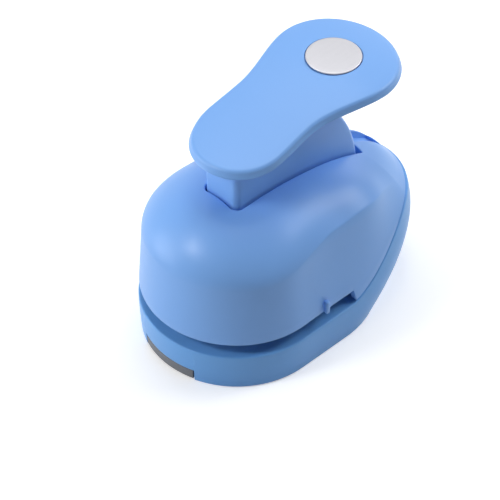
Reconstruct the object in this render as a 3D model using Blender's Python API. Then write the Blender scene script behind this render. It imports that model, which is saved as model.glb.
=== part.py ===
"""Lever-action circle punch for paper and card.

The round nose points to -Y and the thumb pad stands over the rear. Places
along Y are measured from the tip of the nose, so the frame empty moves the
whole punch back by half its length and the origin ends up at the bottom
centre. All lengths are in metres.
"""
import math

import bpy
import bmesh
from mathutils import Vector

# Body form: one rounded shape, later split into the shell and the base
BODY_HALF_WIDTH = 0.0315
THROAT_DEPTH = 0.0535
HEEL_LENGTH = 0.0465
REAR_ROUND_LENGTH = 0.0490
BELT_REAR_INSET = 0.00045
BELT_DROP = 0.0008
FLOOR_INSET = 0.0006
HEEL_OVERHANG = 0.0170
HEEL_BULGE = 0.0027
PIVOT_COVER = 0.0114
CROWN_FALL = 0.0099
CROWN_CURVE_SHARE = 2.7
SPINE_LEAD = 0.0007
SPINE_REAR_REACH = 0.0200
NOSE_CREASE_RISE = 0.0190
SIDE_CREASE_DROP = 0.0129
SIDE_CREASE_RISE = 0.0010
REAR_CREASE_RISE = 0.0025
FACET_LEAD = 0.0300
FACET_LAG = 0.0005
FACET_LENGTH = 0.0090
FACET_REAR_REACH = 0.0020
WALL = 0.0024

# Seam between shell and base, and the throat that takes the paper
DECK_HEIGHT = 0.0139
DECK_THICKNESS = 0.0024
THROAT_HEIGHT = 0.0051
SKIRT_SLOPE_LENGTH = 0.0012
SKIRT_LENGTH = 0.0036
SEAM_REAR_LENGTH = 0.0125
SEAM_END_HEIGHT = 0.0325
STOP_RIB_THICKNESS = 0.0020
STOP_RIB_WIDTH = 0.0016
STOP_RIB_CLEARANCE = 0.0025
FIT_GAP = 0.0003

# Relief groove behind the slot, and the alignment ribs
GROOVE_HALF_WIDTH = 0.0033
GROOVE_REAR_LAND = 0.0075
GROOVE_END_RISE = 0.0060
GROOVE_DEPTH = 0.0026
MARK_RIB_WIDTH = 0.0015
MARK_RIB_HEIGHT = 0.0045
MARK_RIB_PROUD = 0.0006

# Punch and die
PUNCH_SETBACK = 0.0124
PUNCH_RADIUS = 0.0080
DIE_CLEARANCE = 0.0003
DIE_THICKNESS = 0.0018
PLATE_MARGIN = 0.0070
PLATE_SHOULDER = 0.0025
PLATE_TAIL_LENGTH = 0.0090
PLATE_BOSS_CLEARANCE = 0.0005
GUIDE_THICKNESS = 0.0022
PAPER_GAP = 0.0018
CHIP_HOLE_MARGIN = 0.0012
PUNCH_REST_INSET = 0.0004
CUTTER_LENGTH = 0.0145
CUTTER_CUP_DEPTH = 0.0012
HEAD_THICKNESS = 0.0032
HEAD_CHAMFER = 0.0006
HEAD_MARGIN = 0.00065
SPRING_CLEARANCE = 0.00085
SPRING_WIRE = 0.0011
SPRING_TURNS = 4.5
WASHER_THICKNESS = 0.0008
WASHER_WIDTH = 0.0024
WASHER_PLAY = 0.0004
PUNCH_SCREW_GRIP = 0.0060

# Lever
PRESS_ARM = 0.0120
PIVOT_RISE = 0.0058
PIN_RADIUS = 0.0020
PIN_OVERHANG = 0.0016
PIN_PLAY = 0.0002
STEM_HALF_WIDTH = 0.0079
STEM_WALL = 0.0022
STEM_BOTTOM_RISE = 0.0022
STEM_FOOT_RISE = 0.0071
STEM_BOSS_RADIUS = 0.0048
STEM_CORNER = 0.0026
PRESS_RADIUS = 0.0040
SLOT_SIDE_CLEARANCE = 0.00055
SLOT_FRONT_CLEARANCE = 0.0006
SLOT_REAR_CLEARANCE = 0.0013
SLOT_REAR_LAND = 0.0209
PAD_FRONT_OVERHANG = 0.0062
PAD_FRONT_REACH = 0.0164
PAD_FRONT_HALF_WIDTH = 0.0161
PAD_WAIST_LAG = 0.0063
PAD_WAIST_HALF_WIDTH = 0.0157
PAD_REAR_REACH = 0.0196
PAD_REAR_HALF_WIDTH = 0.0211
PAD_REAR_INSET = 0.0069
PAD_FRONT_RISE = 0.0165
PAD_CLIMB = 0.0102
PAD_CLIMB_LEAD = 0.0060
PAD_CLIMB_TRAIL = 0.0004
PAD_DROOP = 0.0016
PAD_CROWN = 0.0014
PAD_THICKNESS = 0.0038
PAD_TOP_FILLET = 0.0018
PAD_BOTTOM_FILLET = 0.0006
INLAY_LEAD = 0.0006
INLAY_RADIUS = 0.0090
INLAY_THICKNESS = 0.0008

# Bracket that carries the pivot
CHEEK_CLEARANCE = 0.0004
SHEET = 0.0015
BRACKET_FRONT_REACH = 0.0101
BRACKET_WASHER_GAP = 0.0008
EYE_RADIUS = 0.0050
CLIP_RADIUS = 0.0034
CLIP_THICKNESS = 0.0007

# Screws
SCREW_RADIUS = 0.0014
SCREW_HEAD_RADIUS = 0.0027
SCREW_HEAD_HEIGHT = 0.0016
SCREW_CLEARANCE = 0.0003
PILLAR_RADIUS = 0.0034
CHASSIS_SCREW_MARGIN = 0.0036
CHASSIS_SCREW_SETBACK = 0.0055
DIE_SCREW_MARGIN = 0.0115
DIE_SCREW_SETBACK = 0.0096
BRACKET_SCREW_X = 0.0040
BRACKET_SCREW_LEAD = 0.0063
SHELL_SCREW_INSET = 0.0100
REAR_BOSS_GAP = 0.0024
REAR_BOSS_LAG = 0.0010
SHELL_SCREW_GRIP = 0.0080
SINK_DEPTH = 0.0013

# Chip cover under the base
COVER_THICKNESS = 0.0018
COVER_RECESS = 0.0006
TAB_HALF_WIDTH = 0.0112
TAB_HEIGHT = 0.0044

# Colours
SHELL_BLUE = (0.22, 0.45, 0.92)
LEVER_BLUE = (0.22, 0.45, 0.92)
BASE_BLUE = (0.16, 0.36, 0.74)
COVER_GREY = (0.16, 0.18, 0.22)
STEEL = (0.62, 0.63, 0.65)
SPRING_STEEL = (0.48, 0.49, 0.52)
ZINC = (0.55, 0.56, 0.58)
SILVER = (0.80, 0.81, 0.82)

# One overrun serves every cut
OVERRUN = 0.0050

# Shares that shape the dome's curves at the nose, the sides and the rear
NOSE_LEAN_SHARE = 0.04
SIDE_LEAN_SHARE = 0.15
REAR_LEAN_SHARE = 0.80
NOSE_TURN_SHARE = 0.03
SIDE_TURN_SHARE = 0.12
REAR_TURN_SHARE = 0.20
NOSE_UP_SHARE = 0.65
SIDE_UP_SHARE = 0.56
REAR_UP_SHARE = 0.35
NOSE_IN_SHARE = 0.62
SIDE_IN_SHARE = 0.58
REAR_IN_SHARE = 0.39

# Counts and angles
NOSE_STEPS = 14
SIDE_STEPS = 6
REAR_STEPS = 14
LOWER_STEPS = 4
FACET_STEPS = 2
DOME_STEPS = 9
ROUND_STEPS = 32
BOSS_STEPS = 16
DIE_STEPS = 48
SEAM_STEPS = 11
PAD_END_STEPS = 10
PAD_SIDE_STEPS = 5
PAD_FILLET_STEPS = 3
PAD_TOP_STEPS = 4
STEM_ARC_STEPS = 8
CORNER_STEPS = 4
SPRING_POINTS_PER_TURN = 10
SHARP_ANGLE = math.radians(28)
STEM_ARC_TOP = math.radians(31)


# Places along the punch
BODY_LENGTH = THROAT_DEPTH + HEEL_LENGTH
SIDE_END = BODY_LENGTH - REAR_ROUND_LENGTH
BELT_REAR = BODY_LENGTH - BELT_REAR_INSET
FLOOR_REAR = BODY_LENGTH - HEEL_OVERHANG
SEAM_RISE_END = BODY_LENGTH - SEAM_REAR_LENGTH
FACET_START = SIDE_END - FACET_LEAD
FACET_FULL = SIDE_END + FACET_LAG
FACET_FADE = FACET_FULL + FACET_LENGTH
FACET_GONE = BODY_LENGTH - FACET_REAR_REACH
PUNCH_Y = THROAT_DEPTH - PUNCH_SETBACK
PIVOT_Y = PUNCH_Y - PRESS_ARM
STEM_FRONT = PIVOT_Y - STEM_BOSS_RADIUS
SLOT_FRONT = STEM_FRONT - SLOT_FRONT_CLEARANCE
SLOT_REAR = BODY_LENGTH - SLOT_REAR_LAND
STEM_REAR_RADIUS = SLOT_REAR - SLOT_REAR_CLEARANCE - PIVOT_Y
SPINE_FRONT = SLOT_FRONT - SPINE_LEAD
SPINE_REAR = BODY_LENGTH - SPINE_REAR_REACH
GROOVE_END = BODY_LENGTH - GROOVE_REAR_LAND
PAD_FRONT_TIP = STEM_FRONT - PAD_FRONT_OVERHANG
PAD_FRONT_LOBE_Y = PAD_FRONT_TIP + PAD_FRONT_REACH
PAD_WAIST_Y = PUNCH_Y + PAD_WAIST_LAG
PAD_REAR_TIP = BODY_LENGTH - PAD_REAR_INSET
PAD_REAR_LOBE_Y = PAD_REAR_TIP - PAD_REAR_REACH
PAD_CLIMB_START = PAD_FRONT_TIP - PAD_CLIMB_LEAD
PAD_CLIMB_END = PAD_REAR_LOBE_Y - PAD_CLIMB_TRAIL
INLAY_Y = PAD_REAR_LOBE_Y - INLAY_LEAD
PLATE_RADIUS = BODY_HALF_WIDTH - PLATE_MARGIN
PLATE_TAIL_START = THROAT_DEPTH + PLATE_SHOULDER
PLATE_REAR = THROAT_DEPTH + PLATE_TAIL_LENGTH
SHELL_SCREW_X = BODY_HALF_WIDTH - SHELL_SCREW_INSET
SHELL_SCREW_Y = THROAT_DEPTH + CHASSIS_SCREW_SETBACK
REAR_SCREW_X = STEM_HALF_WIDTH + REAR_BOSS_GAP + PILLAR_RADIUS
REAR_SCREW_Y = PLATE_REAR + REAR_BOSS_LAG + PILLAR_RADIUS
PLATE_TAIL_HALF_WIDTH = SHELL_SCREW_X - PILLAR_RADIUS - PLATE_BOSS_CLEARANCE
CHASSIS_SCREW_X = PLATE_TAIL_HALF_WIDTH - CHASSIS_SCREW_MARGIN
CHASSIS_SCREW_Y = SHELL_SCREW_Y
DIE_SCREW_X = PLATE_RADIUS - DIE_SCREW_MARGIN
DIE_SCREW_Y = PLATE_MARGIN + DIE_SCREW_SETBACK
BRACKET_FRONT = PIVOT_Y - BRACKET_FRONT_REACH
BRACKET_REAR = PUNCH_Y - PUNCH_RADIUS - WASHER_PLAY - WASHER_WIDTH - BRACKET_WASHER_GAP
BRACKET_SCREW_Y = PIVOT_Y - BRACKET_SCREW_LEAD
SPRING_MEAN_RADIUS = PUNCH_RADIUS + SPRING_CLEARANCE + SPRING_WIRE / 2
HEAD_RADIUS = SPRING_MEAN_RADIUS + SPRING_WIRE / 2 + HEAD_MARGIN
SLOT_HALF_WIDTH = STEM_HALF_WIDTH + SLOT_SIDE_CLEARANCE
SLOT_CORNER = STEM_CORNER + SLOT_SIDE_CLEARANCE
STOP_RIB_OUTER = BODY_HALF_WIDTH - WALL - STOP_RIB_CLEARANCE
INNER_NOSE_RADIUS = BODY_HALF_WIDTH - FLOOR_INSET - WALL
NOTCH_DEPTH = BODY_HALF_WIDTH + FIT_GAP - math.sqrt(INNER_NOSE_RADIUS ** 2 - TAB_HALF_WIDTH ** 2)

# Heights, from the deck up through the plates, the punch and the pivot to the pad
SKIRT_HEIGHT = DECK_HEIGHT + FIT_GAP
RIM_HEIGHT = DECK_HEIGHT + THROAT_HEIGHT
DIE_BOTTOM = DECK_HEIGHT + FIT_GAP
DIE_TOP = DIE_BOTTOM + DIE_THICKNESS
GUIDE_BOTTOM = DIE_TOP + PAPER_GAP
GUIDE_TOP = GUIDE_BOTTOM + GUIDE_THICKNESS
SINK_FOOT = DIE_TOP - SINK_DEPTH
WASHER_BOTTOM = GUIDE_TOP + FIT_GAP
WASHER_TOP = WASHER_BOTTOM + WASHER_THICKNESS
CUTTER_BOTTOM = GUIDE_BOTTOM + PUNCH_REST_INSET
CUTTER_TOP = CUTTER_BOTTOM + CUTTER_LENGTH
HEAD_BOTTOM = CUTTER_TOP + FIT_GAP
HEAD_TOP = HEAD_BOTTOM + HEAD_THICKNESS
PIVOT_HEIGHT = HEAD_TOP + PIVOT_RISE
CROWN_HEIGHT = PIVOT_HEIGHT + EYE_RADIUS + PIVOT_COVER
NOSE_CREASE_HEIGHT = RIM_HEIGHT + NOSE_CREASE_RISE
SIDE_CREASE_HEIGHT = CROWN_HEIGHT - SIDE_CREASE_DROP
REAR_CREASE_HEIGHT = SEAM_END_HEIGHT + REAR_CREASE_RISE
GROOVE_END_HEIGHT = SEAM_END_HEIGHT + GROOVE_END_RISE
GROOVE_ROOF_HEIGHT = CROWN_HEIGHT - CROWN_FALL - GROOVE_DEPTH - WALL
PAD_FRONT_HEIGHT = CROWN_HEIGHT + PAD_FRONT_RISE
PAD_REAR_HEIGHT = PAD_FRONT_HEIGHT + PAD_CLIMB
SHELL_BOSS_FOOT = DECK_HEIGHT + FIT_GAP
COVER_TOP = COVER_RECESS + COVER_THICKNESS
PILLAR_FOOT = COVER_TOP + FIT_GAP + SCREW_HEAD_HEIGHT + FIT_GAP


def mix(low, high, share):
    """Value that lies a share of the way from low to high."""
    return low + (high - low) * share


def smooth(low, high, value):
    """Ease from 0 at low to 1 at high, flat at both ends."""
    share = min(max((value - low) / (high - low), 0.0), 1.0)
    return share * share * (3 - 2 * share)


def clear_scene():
    for item in list(bpy.data.objects):
        bpy.data.objects.remove(item, do_unlink=True)


def make_material(name, colour, roughness, metallic=0.0):
    material = bpy.data.materials.new(name)
    material.use_nodes = True
    shader = material.node_tree.nodes["Principled BSDF"]
    shader.inputs["Base Color"].default_value = (*colour, 1.0)
    shader.inputs["Roughness"].default_value = roughness
    shader.inputs["Metallic"].default_value = metallic
    return material


def add_object(name, mesh_data, colour=None, roughness=0.5, metallic=0.0, origin=(0, 0, 0)):
    """Turn a bmesh, drawn in nose places, into an object with the given origin."""
    bmesh.ops.translate(mesh_data, verts=mesh_data.verts, vec=-Vector(origin))
    bmesh.ops.recalc_face_normals(mesh_data, faces=mesh_data.faces)
    mesh = bpy.data.meshes.new(name)
    mesh_data.to_mesh(mesh)
    mesh_data.free()
    mesh.shade_smooth()
    mesh.set_sharp_from_angle(angle=SHARP_ANGLE)
    item = bpy.data.objects.new(name, mesh)
    item.location = origin
    item.parent = FRAME
    bpy.context.scene.collection.objects.link(item)
    if colour is None:
        item.hide_render = True
        item.display_type = "WIRE"
    else:
        mesh.materials.append(make_material(name, colour, roughness, metallic))
    return item


def apply_boolean(item, tool, operation):
    change = item.modifiers.new(operation.lower() + "_" + tool.name, "BOOLEAN")
    change.operation = operation
    change.solver = "EXACT"
    change.object = tool
    return item


def cut(item, *tools):
    for tool in tools:
        apply_boolean(item, tool, "DIFFERENCE")
    return item


def join(item, *tools):
    for tool in tools:
        apply_boolean(item, tool, "UNION")
    return item


def keep_inside(item, *tools):
    for tool in tools:
        apply_boolean(item, tool, "INTERSECT")
    return item


def prism(outline, direction, low, high):
    """Closed solid from a flat outline: (x, y) pushed along Z, or (y, z) along X."""
    shape = bmesh.new()
    rings = []
    for level in (low, high):
        ring = []
        for first, second in outline:
            place = (first, second, level) if direction == "Z" else (level, first, second)
            ring.append(shape.verts.new(place))
        rings.append(ring)
    shape.faces.new(rings[0])
    shape.faces.new(rings[1])
    count = len(outline)
    for index in range(count):
        after = (index + 1) % count
        shape.faces.new((rings[0][index], rings[0][after], rings[1][after], rings[1][index]))
    return shape


def circle_points(radius, height, centre, steps, direction):
    """Corner points of a circle round the centre; one point where the radius is zero."""
    points = []
    for step in range(steps if radius else 1):
        angle = 2 * math.pi * (step + 1 / 2) / steps
        offset = (radius * math.cos(angle), radius * math.sin(angle), height)
        if direction == "X":
            offset = (offset[2], offset[0], offset[1])
        points.append(Vector(centre) + Vector(offset))
    return points


def turned(profile, centre, steps=None, direction="Z"):
    """Solid of revolution from (radius, height) pairs that start and end on the axis."""
    steps = steps or ROUND_STEPS
    flat_start = profile[0][1] == profile[1][1]
    flat_end = profile[-1][1] == profile[-2][1]
    kept = profile[1 if flat_start else 0:len(profile) - (1 if flat_end else 0)]
    shape = bmesh.new()
    rings = []
    for radius, height in kept:
        points = circle_points(radius, height, centre, steps, direction)
        rings.append([shape.verts.new(point) for point in points])
    for lower, upper in zip(rings, rings[1:]):
        for step in range(steps):
            after = (step + 1) % steps
            if len(lower) == 1:
                shape.faces.new((lower[0], upper[after], upper[step]))
            elif len(upper) == 1:
                shape.faces.new((lower[step], lower[after], upper[0]))
            else:
                shape.faces.new((lower[step], lower[after], upper[after], upper[step]))
    if flat_start:
        shape.faces.new(rings[0])
    if flat_end:
        shape.faces.new(rings[-1])
    return shape


def cylinder(radius, centre, low, high, steps=None, direction="Z"):
    return turned([(0, low), (radius, low), (radius, high), (0, high)], centre, steps, direction)


def ring_solid(inner, outer, centre, low, high, steps=None, direction="Z"):
    """Flat washer: four turned edges joined round their bore."""
    steps = steps or ROUND_STEPS
    shape = bmesh.new()
    rings = []
    for radius, height in ((inner, low), (outer, low), (outer, high), (inner, high)):
        points = circle_points(radius, height, centre, steps, direction)
        rings.append([shape.verts.new(point) for point in points])
    for index, lower in enumerate(rings):
        upper = rings[(index + 1) % len(rings)]
        for step in range(steps):
            after = (step + 1) % steps
            shape.faces.new((lower[step], lower[after], upper[after], upper[step]))
    return shape


def seam_height(place):
    """Height of the seam between shell and base, behind the throat."""
    rise = smooth(THROAT_DEPTH + SKIRT_LENGTH, SEAM_RISE_END, place)
    return mix(SKIRT_HEIGHT, SEAM_END_HEIGHT, rise)


def crown_height(place):
    """Height of the top of the body on its centre line."""
    share = max((place - SPINE_FRONT) / (SPINE_REAR - SPINE_FRONT), 0.0)
    return CROWN_HEIGHT - CROWN_FALL * share ** CROWN_CURVE_SHARE


def half_plan(inset, rear):
    """Right half of the body's outline from above, from the nose tip to the rear."""
    half = BODY_HALF_WIDTH - inset
    points = []
    for step in range(NOSE_STEPS):
        angle = math.pi / 2 * step / NOSE_STEPS
        points.append((half * math.sin(angle), BODY_HALF_WIDTH - half * math.cos(angle)))
    for step in range(SIDE_STEPS):
        points.append((half, mix(BODY_HALF_WIDTH, SIDE_END, step / SIDE_STEPS)))
    for step in range(REAR_STEPS + 1):
        angle = math.pi / 2 * step / REAR_STEPS
        reach = rear - inset - SIDE_END
        points.append((half * math.cos(angle), SIDE_END + reach * math.sin(angle)))
    points[-1] = (0.0, rear - inset)
    return points


def curve_point(corners, share):
    """Point on the cubic curve through four corner points."""
    rest = 1 - share
    weights = (rest ** 3, 3 * share * rest ** 2, 3 * share ** 2 * rest, share ** 3)
    total = Vector((0.0, 0.0, 0.0))
    for weight, corner in zip(weights, corners):
        total += corner * weight
    return total


def body_profile(floor_point, belt_point, inset, depth):
    """One upright curve of the body, from the floor over the belt to the spine line."""
    floor = Vector(floor_point)
    belt = Vector(belt_point)
    place = belt.y
    side = smooth(FACET_START, FACET_FULL, place) * (1 - smooth(FACET_FADE, FACET_GONE, place))
    rear = smooth(FACET_FULL, FACET_GONE, place)

    def zone(nose_value, side_value, rear_value):
        return mix(mix(nose_value, rear_value, rear), side_value, side)

    belt_height = seam_height(place) - BELT_DROP
    rise = SIDE_CREASE_RISE * smooth(SIDE_END, FACET_FADE, place)
    crease_height = zone(NOSE_CREASE_HEIGHT, SIDE_CREASE_HEIGHT + rise, REAR_CREASE_HEIGHT)
    crease_height -= inset / 2
    lean = zone(NOSE_LEAN_SHARE, SIDE_LEAN_SHARE, REAR_LEAN_SHARE)
    turn = zone(NOSE_TURN_SHARE, SIDE_TURN_SHARE, REAR_TURN_SHARE)
    upward = zone(NOSE_UP_SHARE, SIDE_UP_SHARE, REAR_UP_SHARE)
    inward = zone(NOSE_IN_SHARE, SIDE_IN_SHARE, REAR_IN_SHARE)
    spine_place = mix(SPINE_FRONT, SPINE_REAR, place / BODY_LENGTH)
    spine = Vector((0.0, spine_place))
    end_height = crown_height(spine_place) - inset
    run = (spine - belt).normalized()
    crease = belt + run * (lean * (crease_height - belt_height))
    points = []
    if depth:
        points.append(Vector((floor.x, floor.y, -depth)))
    for step in range(LOWER_STEPS):
        share = step / LOWER_STEPS
        spot = floor.lerp(belt, math.sin(math.pi / 2 * share))
        spot -= run * (HEEL_BULGE * rear * math.sin(math.pi * share))
        points.append(Vector((spot.x, spot.y, belt_height * share)))
    for step in range(FACET_STEPS):
        share = step / FACET_STEPS
        spot = belt.lerp(crease, share)
        points.append(Vector((spot.x, spot.y, mix(belt_height, crease_height, share))))
    above_crease = crease.lerp(spine, turn)
    before_spine = spine.lerp(crease, inward)
    corners = (Vector((crease.x, crease.y, crease_height)),
               Vector((above_crease.x, above_crease.y, mix(crease_height, end_height, upward))),
               Vector((before_spine.x, before_spine.y, end_height)),
               Vector((0.0, spine_place, end_height)))
    for step in range(DOME_STEPS + 1):
        points.append(curve_point(corners, step / DOME_STEPS))
    return points


def skin(right):
    """Mirror the right half's profiles and close them into one solid."""
    shape = bmesh.new()
    shared_foot = all(profile[0].x == 0 for profile in right)
    columns = [[shape.verts.new(point) for point in profile] for profile in right]
    for index in range(len(right) - 2, 0, -1):
        profile = right[index]
        first = 1 if shared_foot else 0
        mirrored = [shape.verts.new((-point.x, point.y, point.z)) for point in profile[first:-1]]
        foot = [columns[index][0]] if shared_foot else []
        columns.append(foot + mirrored + [columns[index][-1]])
    count = len(columns)
    for index in range(count):
        here = columns[index]
        after = columns[(index + 1) % count]
        for level in range(len(here) - 1):
            corners = [here[level], after[level], after[level + 1], here[level + 1]]
            unique = [corner for place, corner in enumerate(corners) if corner not in corners[:place]]
            shape.faces.new(unique)
    if not shared_foot:
        shape.faces.new([column[0] for column in columns])
    bmesh.ops.triangulate(shape, faces=shape.faces)
    return shape


def body_form(inset, depth=0.0):
    """Closed solid of the whole body, drawn in by the inset and run below the floor."""
    floors = half_plan(FLOOR_INSET + inset, FLOOR_REAR)
    belts = half_plan(inset, BELT_REAR)
    right = [body_profile(floor, belt, inset, depth) for floor, belt in zip(floors, belts)]
    return skin(right)


def block(low, high):
    outline = [(low[0], low[1]), (high[0], low[1]), (high[0], high[1]), (low[0], high[1])]
    return prism(outline, "Z", low[2], high[2])


def arc(centre, radius, start, end, steps):
    points = []
    for step in range(steps + 1):
        angle = mix(start, end, step / steps)
        points.append((centre[0] + radius * math.cos(angle), centre[1] + radius * math.sin(angle)))
    return points


def slot_outline(half, front, rear, corner):
    """Outline from above of a slot with round front corners and square rear ones."""
    right = arc((half - corner, front + corner), corner, -math.pi / 2, 0, CORNER_STEPS)
    left = arc((corner - half, front + corner), corner, math.pi, 1.5 * math.pi, CORNER_STEPS)
    return right + [(half, rear), (-half, rear)] + left


def seam_outline(drop):
    """Side view of everything under the shell; the drop lowers it for the base."""
    places = [THROAT_DEPTH + SKIRT_LENGTH]
    while places[-1] < SEAM_RISE_END:
        places.append(places[-1] + (SEAM_RISE_END - THROAT_DEPTH) / SEAM_STEPS)
    return [(place, seam_height(place) - drop) for place in places]


def shell_cutter():
    outline = [(-OVERRUN, -OVERRUN), (-OVERRUN, RIM_HEIGHT), (THROAT_DEPTH, RIM_HEIGHT)]
    outline.append((THROAT_DEPTH + SKIRT_SLOPE_LENGTH, SKIRT_HEIGHT))
    outline += seam_outline(0.0)
    outline += [(BODY_LENGTH + OVERRUN, SEAM_END_HEIGHT), (BODY_LENGTH + OVERRUN, -OVERRUN)]
    reach = BODY_HALF_WIDTH + OVERRUN
    return add_object("cut_below_shell", prism(outline, "X", -reach, reach))


def base_cutter():
    outline = [(-OVERRUN, DECK_HEIGHT), (THROAT_DEPTH, DECK_HEIGHT)]
    outline += seam_outline(FIT_GAP)
    top = CROWN_HEIGHT + OVERRUN
    outline.append((BODY_LENGTH + OVERRUN, SEAM_END_HEIGHT - FIT_GAP))
    outline += [(BODY_LENGTH + OVERRUN, top), (-OVERRUN, top)]
    reach = BODY_HALF_WIDTH + OVERRUN
    return add_object("cut_above_base", prism(outline, "X", -reach, reach))


def shell_screw_places():
    return [(-SHELL_SCREW_X, SHELL_SCREW_Y, "front_left"), (SHELL_SCREW_X, SHELL_SCREW_Y, "front_right"),
            (-REAR_SCREW_X, REAR_SCREW_Y, "rear_left"), (REAR_SCREW_X, REAR_SCREW_Y, "rear_right")]


def sides():
    return ((-1, "left"), (1, "right"))


def build_upper_shell():
    shell = add_object("upper_shell", body_form(0.0), SHELL_BLUE, 0.38)
    cavity = add_object("cut_shell_cavity", body_form(WALL, OVERRUN))
    boss_top = CROWN_HEIGHT
    for x, y, name in shell_screw_places():
        boss = cylinder(PILLAR_RADIUS, (x, y, 0), SHELL_BOSS_FOOT, boss_top, BOSS_STEPS)
        cut(cavity, add_object("keep_boss_" + name, boss))
    roof_outline = [(SLOT_REAR - WALL, CROWN_HEIGHT), (SLOT_REAR - WALL, GROOVE_ROOF_HEIGHT),
                    (GROOVE_END + WALL, SEAM_END_HEIGHT), (BODY_LENGTH, SEAM_END_HEIGHT),
                    (BODY_LENGTH, CROWN_HEIGHT)]
    roof_half = GROOVE_HALF_WIDTH + WALL
    roof = add_object("keep_groove_roof", prism(roof_outline, "X", -roof_half, roof_half))
    cut(cavity, roof)
    cut(shell, shell_cutter(), cavity)
    slot = slot_outline(SLOT_HALF_WIDTH, SLOT_FRONT, SLOT_REAR, SLOT_CORNER)
    cut(shell, add_object("cut_slot", prism(slot, "Z", PIVOT_HEIGHT, CROWN_HEIGHT + OVERRUN)))
    floor = [(SLOT_REAR - WALL, crown_height(SLOT_REAR) - GROOVE_DEPTH),
             (SPINE_REAR + WALL, crown_height(SPINE_REAR) - GROOVE_DEPTH - WALL / 2),
             (GROOVE_END, GROOVE_END_HEIGHT), (GROOVE_END, CROWN_HEIGHT), (SLOT_REAR - WALL, CROWN_HEIGHT)]
    cut(shell, add_object("cut_groove", prism(floor, "X", -GROOVE_HALF_WIDTH, GROOVE_HALF_WIDTH)))
    for sign, name in sides():
        low = sorted((sign * (BODY_HALF_WIDTH - WALL / 2), sign * (BODY_HALF_WIDTH + MARK_RIB_PROUD)))
        rib = block((low[0], PUNCH_Y - MARK_RIB_WIDTH / 2, RIM_HEIGHT - FIT_GAP),
                    (low[1], PUNCH_Y + MARK_RIB_WIDTH / 2, RIM_HEIGHT + MARK_RIB_HEIGHT))
        join(shell, add_object("join_mark_rib_" + name, rib))
    for x, y, name in shell_screw_places():
        hole = cylinder(SCREW_RADIUS + SCREW_CLEARANCE, (x, y, 0), SHELL_BOSS_FOOT - OVERRUN,
                        SHELL_BOSS_FOOT + SHELL_SCREW_GRIP + OVERRUN, BOSS_STEPS)
        cut(shell, add_object("cut_shell_screw_" + name, hole))
    return shell


def die_screw_places():
    return [(sign * DIE_SCREW_X, DIE_SCREW_Y, "die_screw_" + name) for sign, name in sides()]


def chassis_screw_places():
    return [(sign * CHASSIS_SCREW_X, CHASSIS_SCREW_Y, "chassis_screw_" + name) for sign, name in sides()]


def bracket_screw_places():
    return [(sign * BRACKET_SCREW_X, BRACKET_SCREW_Y, "bracket_screw_" + name) for sign, name in sides()]


def screw_hole(x, y, low, high, name):
    hole = cylinder(SCREW_RADIUS + SCREW_CLEARANCE, (x, y, 0), low, high, BOSS_STEPS)
    return add_object("cut_" + name, hole)


def build_base_housing():
    base = add_object("base_housing", body_form(0.0), BASE_BLUE, 0.36)
    under_deck = DECK_HEIGHT - DECK_THICKNESS
    reach = BODY_HALF_WIDTH + OVERRUN
    low_cavity = add_object("cut_base_cavity", body_form(WALL, OVERRUN))
    keep_low = block((-reach, -OVERRUN, -2 * OVERRUN), (reach, BODY_LENGTH + OVERRUN, under_deck))
    keep_inside(low_cavity, add_object("keep_under_deck", keep_low))
    pillars = [(x, y, name) for x, y, name in shell_screw_places()]
    pillars += die_screw_places() + chassis_screw_places()
    for x, y, name in pillars:
        pillar = cylinder(PILLAR_RADIUS, (x, y, 0), PILLAR_FOOT, DECK_HEIGHT, BOSS_STEPS)
        cut(low_cavity, add_object("keep_pillar_" + name, pillar))
    heel_cavity = add_object("cut_heel_cavity", body_form(WALL, OVERRUN))
    keep_high = block((-reach, THROAT_DEPTH, DECK_HEIGHT), (reach, BODY_LENGTH + OVERRUN, CROWN_HEIGHT))
    keep_inside(heel_cavity, add_object("keep_above_deck", keep_high))
    cut(base, base_cutter(), low_cavity, heel_cavity)
    chips = cylinder(PUNCH_RADIUS + CHIP_HOLE_MARGIN, (0, PUNCH_Y, 0), PILLAR_FOOT + FIT_GAP, DIE_TOP)
    cut(base, add_object("cut_chip_hole", chips))
    for x, y, name in pillars:
        cut(base, screw_hole(x, y, -OVERRUN, DIE_TOP, "base_" + name))
    for sign, name in sides():
        edges = sorted((sign * STOP_RIB_OUTER, sign * (STOP_RIB_OUTER - STOP_RIB_WIDTH)))
        rib = block((edges[0], THROAT_DEPTH, under_deck + DECK_THICKNESS / 2),
                    (edges[1], THROAT_DEPTH + STOP_RIB_THICKNESS, RIM_HEIGHT))
        join(base, add_object("join_stop_rib_" + name, rib))
    notch = block((-TAB_HALF_WIDTH, -OVERRUN, -OVERRUN), (TAB_HALF_WIDTH, NOTCH_DEPTH, TAB_HEIGHT))
    cut(base, add_object("cut_tab_notch", notch))
    return base


def full_plan(inset, rear):
    right = half_plan(inset, rear)
    return right + [(-x, y) for x, y in reversed(right[1:-1])]


def build_chip_cover():
    cover = add_object("chip_cover", prism(full_plan(FLOOR_INSET + WALL + FIT_GAP, FLOOR_REAR),
                                           "Z", COVER_RECESS, COVER_TOP), COVER_GREY, 0.45)
    tab = add_object("join_tab", body_form(0.0))
    half = TAB_HALF_WIDTH - FIT_GAP
    room = block((-half, -OVERRUN, COVER_RECESS), (half, NOTCH_DEPTH + WALL, TAB_HEIGHT - FIT_GAP))
    keep_inside(tab, add_object("keep_tab", room))
    behind = cylinder(INNER_NOSE_RADIUS, (0, BODY_HALF_WIDTH, 0), COVER_TOP, TAB_HEIGHT + OVERRUN,
                      2 * ROUND_STEPS)
    cut(tab, add_object("cut_behind_tab", behind))
    return join(cover, tab)


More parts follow.
